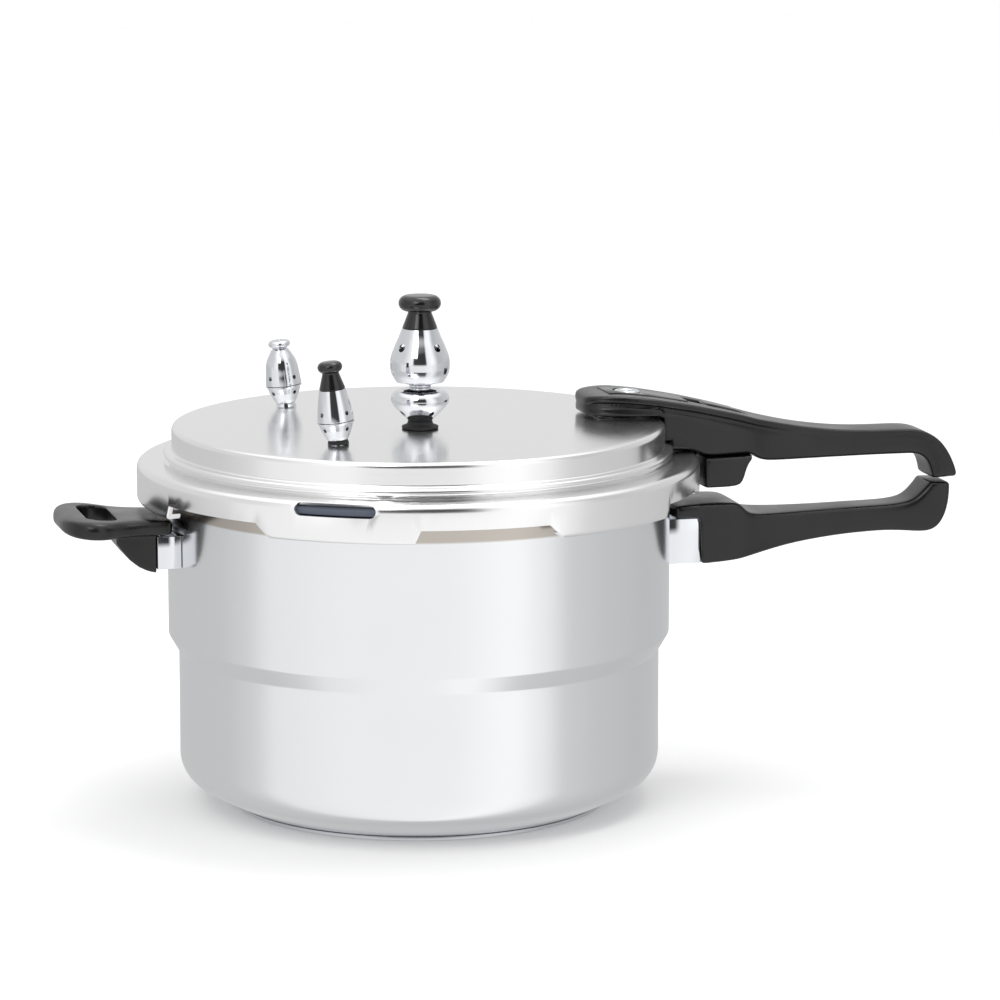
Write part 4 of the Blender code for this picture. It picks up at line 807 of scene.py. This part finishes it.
# %% Handle base
base_low = box_mm("lid_handle_base")[0]
BASE_TABLE = (
    (0.0, 18.1, 0.4, 23.8, 1.6),
    (1.6, 18.1, 0.0, 24.2, 3.0),
    (9.0, 18.1, 0.0, 24.0, 3.0),
    (19.5, 18.1, 0.0, 23.4, 3.0),
    (23.0, 18.1, 1.6, 23.0, 3.0),
    (24.6, 18.1, 6.0, 22.6, 3.0),
    (26.2, 18.1, 11.0, 22.2, 3.0),
    (28.4, 18.1, 14.8, 21.8, 1.4),
    (30.0, 18.0, 16.4, 21.4, 0.7),
)
handle_base = as_object("handle_base_moulding", lofted(stacked(BASE_TABLE), base_low.x, base_low.z))
subdivided(handle_base)
carve(handle_base, block_tool(
    (base_low.x - 4.0, -STEM_HALF, bolt_low.z - 0.6), (bolt_low.x + 12.0, STEM_HALF, SHOULDER_Z + 1.0),
))
screw = centre_mm("lid_handle_screw_1")
for side in (-1, 1):
    under_head = upright(screw.x, side * abs(screw.y))
    carve(handle_base, rod_tool(SCREW_WELL_R, base_low.z - 5.0, base_low.z + 3.4, under_head))
moulded(handle_base, 0.6, 3)
finish_piece(handle_base, "lid", "lid_handle_base", "bakelite")

# %% [markdown]
# Pressed, cast and cut pieces whose shape is already right keep it. A copy
# of the node is merged, its flat faces are joined up, and its edges are
# broken.

# %% Pieces refined from the frame


def refined(node, name, finish, width):
    """A piece with a node's own shape and broken edges."""
    bm = bmesh.new()
    bm.from_mesh(frame["nodes"][node].data)
    bmesh.ops.remove_doubles(bm, verts=bm.verts, dist=0.000005)
    bmesh.ops.dissolve_limit(bm, angle_limit=math.radians(1.0), verts=bm.verts, edges=bm.edges)
    piece = as_object(name, bm)
    break_edges(piece, width)
    body = frame["nodes"][node]["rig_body"]
    return finish_piece(piece, body, node, finish)


refined("pot_bracket", "lower_bracket_plated", "chrome", 0.6)
refined("helper_bracket", "helper_bracket_plated", "chrome", 0.6)
refined("slide_button", "slide_button_moulding", "bakelite_gloss", 0.3)
refined("handle_inlay", "handle_inlay_moulding", "bakelite_gloss", 0.3)
refined("lid_bracket", "lid_strip_pressed", "strip_steel", 0.3)

# %% [markdown]
# The pressure indicator shows in a small polished ring, set into the
# handle's top. The ring is dished towards its pin.

# %% Indicator ring
ring_bm = turned(eased([
    (PIN_SHAFT_R, ring_low.z, 0.0), (ring_r, ring_low.z, 0.3), (ring_r, ring_high.z - 0.8, 0.5),
    (ring_r - 1.5, ring_high.z, 0.5), (ring_r - 3.0, ring_high.z - 0.4, 0.6), (4.0, ring_high.z - 1.0, 0.4),
    (PIN_SHAFT_R, ring_high.z - 0.7, 0.2),
], closed=True), closed=True, steps=72)
bmesh.ops.transform(ring_bm, matrix=ring_at, verts=ring_bm.verts)
finish_piece(as_object("indicator_bezel", ring_bm), "lid", "indicator_ring", "chrome")

# %% [markdown]
# The weight and its cup are spun from brass and chromed. They are turned
# upright at the origin, drilled there, and set on the vent pipe's axis last,
# because a drill is simplest to aim from the middle.

# %% Vent pipe, cup and weight
gasket_low, gasket_high = box_mm("regulator_gasket")
vent_axis = centre_mm("regulator_gasket")
vent_z = gasket_low.z - 0.3
VENT = Matrix.Translation((vent_axis.x * MM, vent_axis.y * MM, vent_z * MM))
FINE_STEPS = 96
HOLE_COUNT = 4


def radial_holes(radius, height, reach, turn):
    """Drills for holes round a turned shell, one per quarter turn."""
    bm = bmesh.new()
    for quarter in range(HOLE_COUNT):
        spin = Matrix.Rotation(math.radians(turn) + 2 * math.pi * quarter / HOLE_COUNT, 4, "Z")
        lie = Matrix.Rotation(math.pi / 2, 4, "Y") @ Matrix.Translation((0, 0, reach * MM))
        at = Matrix.Translation((0, 0, height * MM)) @ spin @ lie
        bmesh.ops.create_cone(
            bm, cap_ends=True, segments=32, radius1=radius * MM, radius2=radius * MM,
            depth=reach * MM, matrix=at,
        )
    return bm


def fitting(name, outline, place, body, node, finish, closed=False, drills=()):
    """A small turned piece, drilled and then set in its place."""
    piece = as_object(name, turned(outline, closed, FINE_STEPS))
    for drill in drills:
        carve(piece, drill)
    piece.data.transform(place)
    return finish_piece(piece, body, node, finish)


gasket_top = gasket_high.z - vent_z
fitting("vent_foot", eased([
    (5.3, gasket_top, 0.2), (6.9, gasket_top, 0.4), (7.3, 2.6, 1.6), (10.3, 1.5, 0.5), (10.3, 0.3, 0.4),
    (5.3, 0.3, 0.2),
], closed=True), VENT, "lid", "regulator_gasket", "black_rubber", closed=True)
cup_low, cup_high = (corner.z - vent_z for corner in box_mm("regulator_cup"))
cup_r = 16.5
cup_outer = curved([
    (9.4, cup_high - 0.9), (cup_r - 3.8, cup_high - 0.2), (cup_r - 1.1, cup_high - 2.2),
    (cup_r, cup_high - 5.4), (cup_r - 1.1, cup_high - 8.4), (cup_r - 4.4, cup_high - 12.2),
    (8.0, cup_low + 1.0), (7.0, cup_low),
])
cup_inner = curved([
    (7.4, cup_low + 1.7), (cup_r - 5.2, cup_high - 11.0), (cup_r - 2.2, cup_high - 7.6),
    (cup_r - 1.3, cup_high - 5.2), (cup_r - 2.4, cup_high - 3.0), (9.4, cup_high - 1.9),
])
fitting(
    "vent_cup", cup_outer + [Vector((5.3, cup_low)), Vector((5.3, cup_low + 1.4))] + cup_inner,
    VENT, "lid", "regulator_cup", "chrome", closed=True,
    drills=[radial_holes(1.5, cup_high - 12.6, cup_r, 20.0)],
)
pipe_low, pipe_high = (corner.z - vent_z for corner in box_mm("vent_pipe"))
shell_low, shell_high = (corner.z - vent_z for corner in box_mm("regulator_shell"))
neck = [(5.2, shell_low + 3.0, 0.3)]
ring_step = (shell_low - cup_high) / 3
for index in range(3):
    level = shell_low - 0.2 - index * ring_step
    neck += [(6.2, level, 0.35), (6.2, level - ring_step * 0.6, 0.35), (5.5, level - ring_step * 0.8, 0.15)]
fitting("vent_stem", eased(
    [(1.5, pipe_high, 0.2), (2.2, pipe_high, 0.4), (3.6, pipe_high - 3.0, 0.8), (3.6, shell_low + 4.0, 0.4)]
    + neck + [(5.5, 7.4, 0.3), (5.0, 6.8, 0.3), (5.0, pipe_low, 0.4), (1.5, pipe_low, 0.2)],
    closed=True,
), VENT, "lid", "vent_pipe", "chrome", closed=True)
WEIGHT_R = 16.75
tall = shell_high - shell_low
bell = curved([
    (WEIGHT_R - inset, shell_low + tall * share) for share, inset in (
        (1.0, 6.75), (0.86, 5.15), (0.68, 2.75), (0.48, 0.55), (0.32, 0.0), (0.17, 0.55),
        (0.05, 2.35), (0.0, 3.35),
    )
], steps=8)
lining = [Vector((point.x - 1.2, point.y)) for point in reversed(bell[8:])]
fitting(
    "weight_shell",
    [Vector((3.3, shell_high))] + bell + lining
    + [Vector((bell[0].x - 1.2, shell_high - 1.4)), Vector((3.3, shell_high - 1.4))],
    VENT, "weight", "regulator_shell", "chrome", closed=True,
    drills=[radial_holes(2.2, shell_low + tall * 0.67, WEIGHT_R, 30.5)],
)
knob_low, knob_high = (corner.z - vent_z for corner in box_mm("regulator_knob"))
waist = knob_low + 9.2
knob_ball = arc((7.5, waist + 4.7), 4.4, 90.0, -78.0, 16)
fitting(
    "weight_knob",
    [Vector((0.0, knob_high - 0.2)), Vector((3.0, knob_high - 0.15))] + knob_ball
    + eased([(6.9, waist + 0.2, 0.0), (6.6, waist - 0.6, 0.9), (9.9, knob_low, 0.3), (3.3, knob_low, 0.0)])
    + [Vector((3.3, waist - 0.3)), Vector((0.0, waist - 0.3))],
    VENT, "weight", "regulator_knob", "bakelite_gloss",
)

# %% [markdown]
# The two side valves are alike up to the cap: a lower shell and an upper
# shell that meet at a rolled seam, with vent holes above and below it. One
# ends in a black cone and ball, the other in a chromed button. Both lean a
# little, so they are made upright and tilted as they are placed.

# %% Side valves
VALVE_R = 10.25
SEAM = 13.6


def valve_shells(prefix, side, cap_top, head_r):
    """The lower and upper shell of a side valve."""
    place = valve_place(side)
    lower = [
        (VALVE_R - 1.4, SEAM - 0.4, 0.0), (VALVE_R + 0.1, SEAM - 0.4, 0.3), (VALVE_R + 0.1, SEAM - 1.1, 0.3),
        (VALVE_R - 0.7, SEAM - 1.6, 0.3), (VALVE_R - 1.7, SEAM - 5.0, 6.0), (VALVE_R - 3.4, 4.8, 6.0),
        (VALVE_R - 4.5, 2.9, 0.6), (4.2, 2.9, 0.0), (4.2, -12.0, 0.4), (1.4, -12.0, 0.0), (1.4, 5.1, 0.0),
        (VALVE_R - 4.6, 5.1, 0.5), (VALVE_R - 2.9, SEAM - 5.0, 3.0), (VALVE_R - 1.9, SEAM - 1.5, 0.0),
    ]
    fitting(
        f"{prefix}_lower_shell", eased(lower, closed=True), place, "lid", f"{prefix}_valve_body",
        "chrome", closed=True, drills=[radial_holes(1.1, SEAM - 4.4, VALVE_R, 30.5)],
    )
    rise = cap_top - SEAM
    flank = curved([
        (head_r, cap_top), (VALVE_R - 1.7, cap_top - rise * 0.34), (VALVE_R - 0.5, cap_top - rise * 0.74),
        (VALVE_R, SEAM + 0.6), (VALVE_R, SEAM),
    ], steps=8)
    lining = [Vector((point.x - 1.1, point.y)) for point in reversed(flank[6:])]
    fitting(
        f"{prefix}_upper_shell",
        [Vector((2.6, cap_top))] + flank + lining
        + [Vector((head_r - 1.1, cap_top - 1.4)), Vector((2.6, cap_top - 1.4))],
        place, "lid", f"{prefix}_valve_cap", "chrome", closed=True,
        drills=[radial_holes(1.2, SEAM + 4.6, VALVE_R, 30.5)],
    )
    return place


RELIEF_TOP, SAFETY_TOP = 31.0, 34.0
relief_place = valve_shells("relief", -1, RELIEF_TOP, 7.25)
safety_place = valve_shells("safety", 1, SAFETY_TOP, 4.9)
cone_low = RELIEF_TOP + 0.3
relief_ball = arc((3.9, cone_low + 12.2), 2.95, 88.0, -72.0, 14)
fitting(
    "relief_top",
    [Vector((0.0, cone_low + 15.3))] + relief_ball
    + eased([(4.9, cone_low + 9.3, 0.0), (4.6, cone_low + 8.6, 0.8), (7.25, cone_low, 0.3),
             (2.3, cone_low, 0.0)])
    + [Vector((2.3, cone_low + 9.3)), Vector((0.0, cone_low + 9.3))],
    relief_place, "relief_plunger", "relief_valve_knob", "bakelite_gloss",
)
button_z = SAFETY_TOP + 0.3
rolled_edge = arc((4.4, button_z + 3.0), 1.9, 80.0, -80.0, 14)
fitting(
    "safety_top",
    [Vector((0.0, button_z + 4.2)), Vector((0.9, button_z + 4.2)), Vector((1.2, button_z + 5.0))]
    + rolled_edge + [Vector((4.0, button_z)), Vector((2.3, button_z)), Vector((2.3, button_z + 2.7)),
                     Vector((0.0, button_z + 2.7))],
    safety_place, "safety_plunger", "safety_valve_button", "chrome",
)

# %% [markdown]
# The finishes follow. One function turns a hex colour to the linear values
# that shaders use, and one adds a node with its settings and links. A turned
# surface reads its distance from the axis, so its fine marks run round it
# as they do on a lathe.

# %% Helpers for finishes


def colour(text):
    """A linear colour from an sRGB hex value."""
    parts = [int(text[i:i + 2], 16) / 255 for i in (1, 3, 5)]
    return [(c / 12.92 if c <= 0.04045 else ((c + 0.055) / 1.055) ** 2.4) for c in parts] + [1.0]


def add(tree, kind, settings=None, links=None):
    """Adds a node; settings may name properties or inputs, and links give inputs their sources."""
    node = tree.nodes.new(kind)
    for key, value in (settings or {}).items():
        if isinstance(key, str) and hasattr(node, key):
            setattr(node, key, value)
        else:
            node.inputs[key].default_value = value
    for key, source in (links or {}).items():
        tree.links.new(source, node.inputs[key])
    return node


def blank(name, base, metallic, roughness):
    """A material with its shader's plain values set, and its tree."""
    material = bpy.data.materials.new(name)
    material.use_nodes = True
    shader = material.node_tree.nodes["Principled BSDF"]
    shader.inputs["Base Color"].default_value = colour(base)
    shader.inputs["Metallic"].default_value = metallic
    shader.inputs["Roughness"].default_value = roughness
    return material, material.node_tree, shader


def feed(tree, shader, roughness=None, height=None, strength=0.1, depth=0.1, tint=None):
    """Links a roughness, a height in millimetres and a tint to a shader."""
    if roughness:
        tree.links.new(roughness, shader.inputs["Roughness"])
    if height:
        bump = add(tree, "ShaderNodeBump", {"Strength": strength, "Distance": depth * MM},
                   {"Height": height})
        tree.links.new(bump.outputs["Normal"], shader.inputs["Normal"])
    if tint:
        tree.links.new(tint, shader.inputs["Base Color"])


def lathe_marks(tree, centre, pitch_mm):
    """A value that changes only with radius and height, so its marks run round the axis."""
    place = add(tree, "ShaderNodeTexCoord")
    shift = add(tree, "ShaderNodeMapping", {"Location": [-c * MM for c in centre]},
                {"Vector": place.outputs["Object"]})
    split = add(tree, "ShaderNodeSeparateXYZ", {}, {"Vector": shift.outputs["Vector"]})
    flat = add(tree, "ShaderNodeCombineXYZ", {}, {"X": split.outputs["X"], "Y": split.outputs["Y"]})
    radius = add(tree, "ShaderNodeVectorMath", {"operation": "LENGTH"}, {0: flat.outputs["Vector"]})
    where = add(tree, "ShaderNodeCombineXYZ", {}, {"X": radius.outputs["Value"], "Z": split.outputs["Z"]})
    return add(tree, "ShaderNodeTexNoise", {"Scale": 1 / (pitch_mm * MM), "Detail": 3.0},
               {"Vector": where.outputs["Vector"]}).outputs["Fac"], place


def spread(tree, source, low, high):
    """Maps a noise value onto a range."""
    return add(tree, "ShaderNodeMapRange", {"From Min": 0.3, "From Max": 0.7, "To Min": low, "To Max": high},
               {"Value": source}).outputs["Result"]


# %% [markdown]
# Polished 3003 aluminium: the wall is buffed on a wheel while the pot turns,
# so it mirrors softly, with marks about half a millimetre apart that run round
# it and a faint cloudiness from handling. The marks are drawn coarser than a
# real buff leaves, so that they show. Above a height just under the lid's lugs
# the wall's colour turns a darker warm grey: painted shade, where the lid's skirt shades it.

# %% Aluminium finishes
finishes = {}
CLOUD_MM = 38


def polished(name, base, roughness, spread_by, pitch, strength):
    """Turned and buffed aluminium, centred on the pot's axis."""
    material, tree, shader = blank(name, base, 1.0, roughness)
    marks, place = lathe_marks(tree, (0, 0, 0), pitch)
    cloud = add(tree, "ShaderNodeTexNoise", {"Scale": 1 / (CLOUD_MM * MM), "Detail": 4.0},
                {"Vector": place.outputs["Object"]})
    mixed = add(tree, "ShaderNodeMath", {"operation": "ADD"},
                {0: spread(tree, marks, 0.0, spread_by), 1: spread(tree, cloud.outputs["Fac"], 0.0, 0.05)})
    level = add(tree, "ShaderNodeMath", {"operation": "ADD", 1: roughness}, {0: mixed.outputs["Value"]})
    feed(tree, shader, level.outputs["Value"], marks, strength, 0.02)
    finishes[name] = material


BUFFED, SKIRT_SHADE_GREY = "#E6E7E9", "#B9B3AB"
polished("wall_polish_and_painted_shade", BUFFED, 0.13, 0.05, 0.5, 0.05)
# Painted shade: above this height the wall's colour darkens to a warm grey, standing for the shade under the
# lid's skirt.
SHADE_FROM_Z, SHADE_FADE = LID_LUG_Z - 2.6, 1.2
wall_tree = finishes["wall_polish_and_painted_shade"].node_tree
wall_shader = wall_tree.nodes["Principled BSDF"]
spot = add(wall_tree, "ShaderNodeTexCoord")
heights = add(wall_tree, "ShaderNodeSeparateXYZ", {}, {"Vector": spot.outputs["Object"]})
skirt_shade = add(wall_tree, "ShaderNodeMapRange",
          {"From Min": SHADE_FROM_Z * MM, "From Max": (SHADE_FROM_Z + SHADE_FADE) * MM},
          {"Value": heights.outputs["Z"]})
shaded_colour = add(wall_tree, "ShaderNodeMix", {"data_type": "RGBA", 6: colour(BUFFED), 7: colour(SKIRT_SHADE_GREY)},
           {0: skirt_shade.outputs["Result"]})
feed(wall_tree, wall_shader, tint=shaded_colour.outputs[2])
polished("lid_polish", "#EEEEEE", 0.15, 0.05, 0.45, 0.05)
polished("tray_satin", "#D2D3D5", 0.32, 0.08, 0.6, 0.20)
print("aluminium finishes:", len(finishes))

# %% [markdown]
# Bright chrome plate mirrors almost sharply. Stamped steel is duller and
# keeps the grain of the sheet. Zinc-plated screws are brighter and a little
# cloudy.

# %% Chrome and steel finishes


def metal(name, base, roughness, grain_mm, amount, strength, stretch=(1, 1, 1)):
    """A metal with a grain that may be stretched along an axis."""
    material, tree, shader = blank(name, base, 1.0, roughness)
    place = add(tree, "ShaderNodeTexCoord")
    pull = add(tree, "ShaderNodeMapping", {"Scale": stretch}, {"Vector": place.outputs["Object"]})
    grain = add(tree, "ShaderNodeTexNoise", {"Scale": 1 / (grain_mm * MM), "Detail": 4.0},
                {"Vector": pull.outputs["Vector"]})
    feed(tree, shader, spread(tree, grain.outputs["Fac"], roughness, roughness + amount),
         grain.outputs["Fac"], strength, 0.03)
    finishes[name] = material


metal("chrome", "#DEE0E4", 0.045, 6.0, 0.05, 0.06)
metal("strip_steel", "#C3C5C8", 0.24, 0.8, 0.12, 0.20, (0.06, 1, 1))
metal("plate_steel", "#B9BBBE", 0.30, 0.7, 0.12, 0.25)
metal("zinc", "#CDCFD3", 0.22, 2.0, 0.14, 0.15)
metal("rivet_head", "#DADBDD", 0.24, 1.5, 0.10, 0.15)

# %% [markdown]
# Black phenolic comes out of a polished mould with a gloss that handling
# dulls in patches. A broad noise moves the roughness, and a fine one gives
# the slight orange peel. Silicone and rubber are matt and a little dusty.

# %% Phenolic, silicone and rubber
PATCH_MM = 22


def moulding(name, base, roughness, amount, peel_mm, strength, ior=1.55):
    """A moulded material with patchy gloss and a fine surface texture."""
    material, tree, shader = blank(name, base, 0.0, roughness)
    shader.inputs["IOR"].default_value = ior
    place = add(tree, "ShaderNodeTexCoord")
    patch = add(tree, "ShaderNodeTexNoise", {"Scale": 1 / (PATCH_MM * MM), "Detail": 5.0},
                {"Vector": place.outputs["Object"]})
    peel = add(tree, "ShaderNodeTexNoise", {"Scale": 1 / (peel_mm * MM), "Detail": 2.0},
               {"Vector": place.outputs["Object"]})
    feed(tree, shader, spread(tree, patch.outputs["Fac"], roughness, roughness + amount),
         peel.outputs["Fac"], strength, 0.04)
    finishes[name] = material


moulding("bakelite", "#111112", 0.22, 0.12, 1.4, 0.12, 1.46)
moulding("bakelite_gloss", "#121214", 0.12, 0.08, 1.8, 0.10)
moulding("silicone", "#5B6270", 0.48, 0.14, 0.9, 0.30, 1.41)
moulding("black_rubber", "#151516", 0.55, 0.15, 0.8, 0.35, 1.52)

# %% [markdown]
# Every new piece takes the finish it asked for. The nodes that keep their
# own shape are mostly inside: the rack, fasteners, springs and valve stems.

# %% Dress the pieces
KEPT = {
    "tray_satin": ["steam_tray"],
    "rivet_head": [n for n in frame["nodes"] if "_rivet_" in n],
    "zinc": [n for n in frame["nodes"] if n.endswith(("_nut", "_plunger", "_spring")) or "_screw" in n],
    "plate_steel": ["float_pin", "float_bush", "lock_bolt", "strainer_cap", "regulator_core"],
    "silicone": ["float_seal"],
    "black_rubber": ["relief_valve_foot"],
    "chrome": ["safety_valve_foot"],
}


def wear(piece, finish):
    """Gives a piece one finish."""
    piece.data.materials.clear()
    piece.data.materials.append(finishes[finish])


for piece_name, finish in wanted_finish.items():
    wear(bpy.data.objects[piece_name], finish)
for finish, nodes in KEPT.items():
    for node in nodes:
        wear(frame["nodes"][node], finish)
print("pieces dressed:", len(wanted_finish), "nodes kept:", sum(map(len, KEPT.values())))

# %% [markdown]
# Polished metal shows what stands round it, so the surroundings matter more
# than the lamps. Photographers put such a pot in a tent of white cloth: here
# the world is the tent. Its brightness changes with the direction round the
# pot, bright in front and grey at the sides, which is what makes a mirror
# finish look round. A dark gap in front, where the camera looks in, draws the
# dark line down the middle of each chromed fitting. The camera itself sees
# plain white. Blender gives the world's direction as Generated coordinates.

# %% Light tent
CAMERA_AZIMUTH = -103.5
world = bpy.data.worlds.new("light_tent")
bpy.context.scene.world = world
world.use_nodes = True
tent = world.node_tree


def ramp(tree, source, stops):
    """A grey ramp through (position, value) stops, driven by a source."""
    node = add(tree, "ShaderNodeValToRGB", {}, {"Fac": source})
    node.color_ramp.interpolation = "EASE"
    marks = node.color_ramp.elements
    while len(marks) < len(stops):
        marks.new(0.5)
    for mark, (position, value) in zip(marks, stops):
        mark.position = position
        mark.color = (value, value, value, 1.0)
    return node.outputs["Color"]


def around(stops):
    """Turns stops given in degrees from the camera's side into ramp stops."""
    return [((degrees + 180.0) / 360.0, value) for degrees, value in stops]


way = add(tent, "ShaderNodeTexCoord")
faced = add(tent, "ShaderNodeMapping", {"Rotation": (0, 0, math.radians(-CAMERA_AZIMUTH))},
            {"Vector": way.outputs["Generated"]})
parts = add(tent, "ShaderNodeSeparateXYZ", {}, {"Vector": faced.outputs["Vector"]})
angle = add(tent, "ShaderNodeMath", {"operation": "ARCTAN2"},
            {0: parts.outputs["Y"], 1: parts.outputs["X"]})
share = add(tent, "ShaderNodeMapRange", {"From Min": -math.pi, "From Max": math.pi},
            {"Value": angle.outputs["Value"]}).outputs["Result"]
low_cloth = ramp(tent, share, around([
    (-180, 0.60), (-105, 0.66), (-88, 0.74), (-70, 0.98), (-30, 1.05), (10, 1.07), (46, 1.18), (58, 1.04),
    (76, 0.72), (100, 0.65), (130, 0.60), (180, 0.60),
]))
high_cloth = ramp(tent, share, around([
    (-180, 0.80), (-120, 0.76), (-75, 0.80), (-30, 1.20), (-22, 0.06), (22, 0.05), (30, 1.15), (50, 1.30),
    (80, 0.62), (120, 0.70), (180, 0.80),
]))
level = add(tent, "ShaderNodeMapRange", {"From Min": -0.07, "From Max": 0.05},
            {"Value": parts.outputs["Z"]}).outputs["Result"]
walls = add(tent, "ShaderNodeMix", {"data_type": "RGBA"}, {0: level, 6: low_cloth, 7: high_cloth})
overhead = add(tent, "ShaderNodeMapRange", {"From Min": 0.55, "From Max": 0.85},
               {"Value": parts.outputs["Z"]}).outputs["Result"]
roofed = add(tent, "ShaderNodeMix", {"data_type": "RGBA", 7: (1.45, 1.45, 1.45, 1.0)},
             {0: overhead, 6: walls.outputs[2]})
ray = add(tent, "ShaderNodeLightPath")
seen = add(tent, "ShaderNodeMix", {"data_type": "RGBA", 7: (1.0, 1.0, 1.0, 1.0)},
           {0: ray.outputs["Is Camera Ray"], 6: roofed.outputs[2]})
tent.links.new(seen.outputs[2], tent.nodes["Background"].inputs["Color"])
print("tent nodes:", len(tent.nodes))

# %% [markdown]
# The floor is painted white. It takes the pot's soft shadow, but the metal
# doesn't see it: below the horizon the metal sees the tent's lower cloth,
# which stands for a white table top. Two weak softboxes put long highlights
# on the black handles.

# %% Floor and softboxes
floor_bm = bmesh.new()
bmesh.ops.create_grid(floor_bm, x_segments=8, y_segments=8, size=6.0)
floor = as_object("floor", floor_bm)
floor.visible_glossy = False
floor.visible_diffuse = False
floor.visible_shadow = False
floor_material, floor_tree, floor_shader = blank("painted_floor", "#F6F6F6", 0.0, 0.7)
floor_shader.inputs["Specular IOR Level"].default_value = 0.0
floor_place = add(floor_tree, "ShaderNodeTexCoord")
floor_noise = add(floor_tree, "ShaderNodeTexNoise", {"Scale": 1 / (60 * MM)},
                  {"Vector": floor_place.outputs["Object"]})
feed(floor_tree, floor_shader, spread(floor_tree, floor_noise.outputs["Fac"], 0.6, 0.8))
floor.data.materials.append(floor_material)
floor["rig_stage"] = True


def softbox(name, place, size, power):
    """An area light that faces the canner."""
    light = bpy.data.lights.new(name, "AREA")
    light.shape = "RECTANGLE"
    light.size, light.size_y = size
    light.energy = power
    lamp = bpy.data.objects.new(name, light)
    lamp.location = place
    lamp.rotation_euler = (Vector((0.05, 0, 0.13)) - Vector(place)).to_track_quat("-Z", "Y").to_euler()
    bpy.context.scene.collection.objects.link(lamp)


softbox("key", (-1.1, -1.5, 1.6), (0.9, 0.9), 7)
softbox("top", (0.4, 0.2, 1.9), (1.2, 0.7), 9)

# %% [markdown]
# The camera stands in front of the canner, looks down by ten degrees and
# has the long handles on its right.

# %% Camera
camera = bpy.data.objects.new("camera", bpy.data.cameras.new("camera"))
bpy.context.scene.collection.objects.link(camera)
camera.location = (-0.6061, -2.5288, 0.6317)
camera.rotation_euler = (math.radians(79.99), 0.0, math.radians(-14.5))
camera.data.lens = 166.75
camera.data.sensor_width = 36.0
bpy.context.scene.camera = camera
bpy.context.scene.view_settings.view_transform = "Standard"

# %% [markdown]
# The box of the finished pieces is printed.

# %% Sizes
low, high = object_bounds()
print("visual box:", [round(v, 4) for v in (*low, *high)])
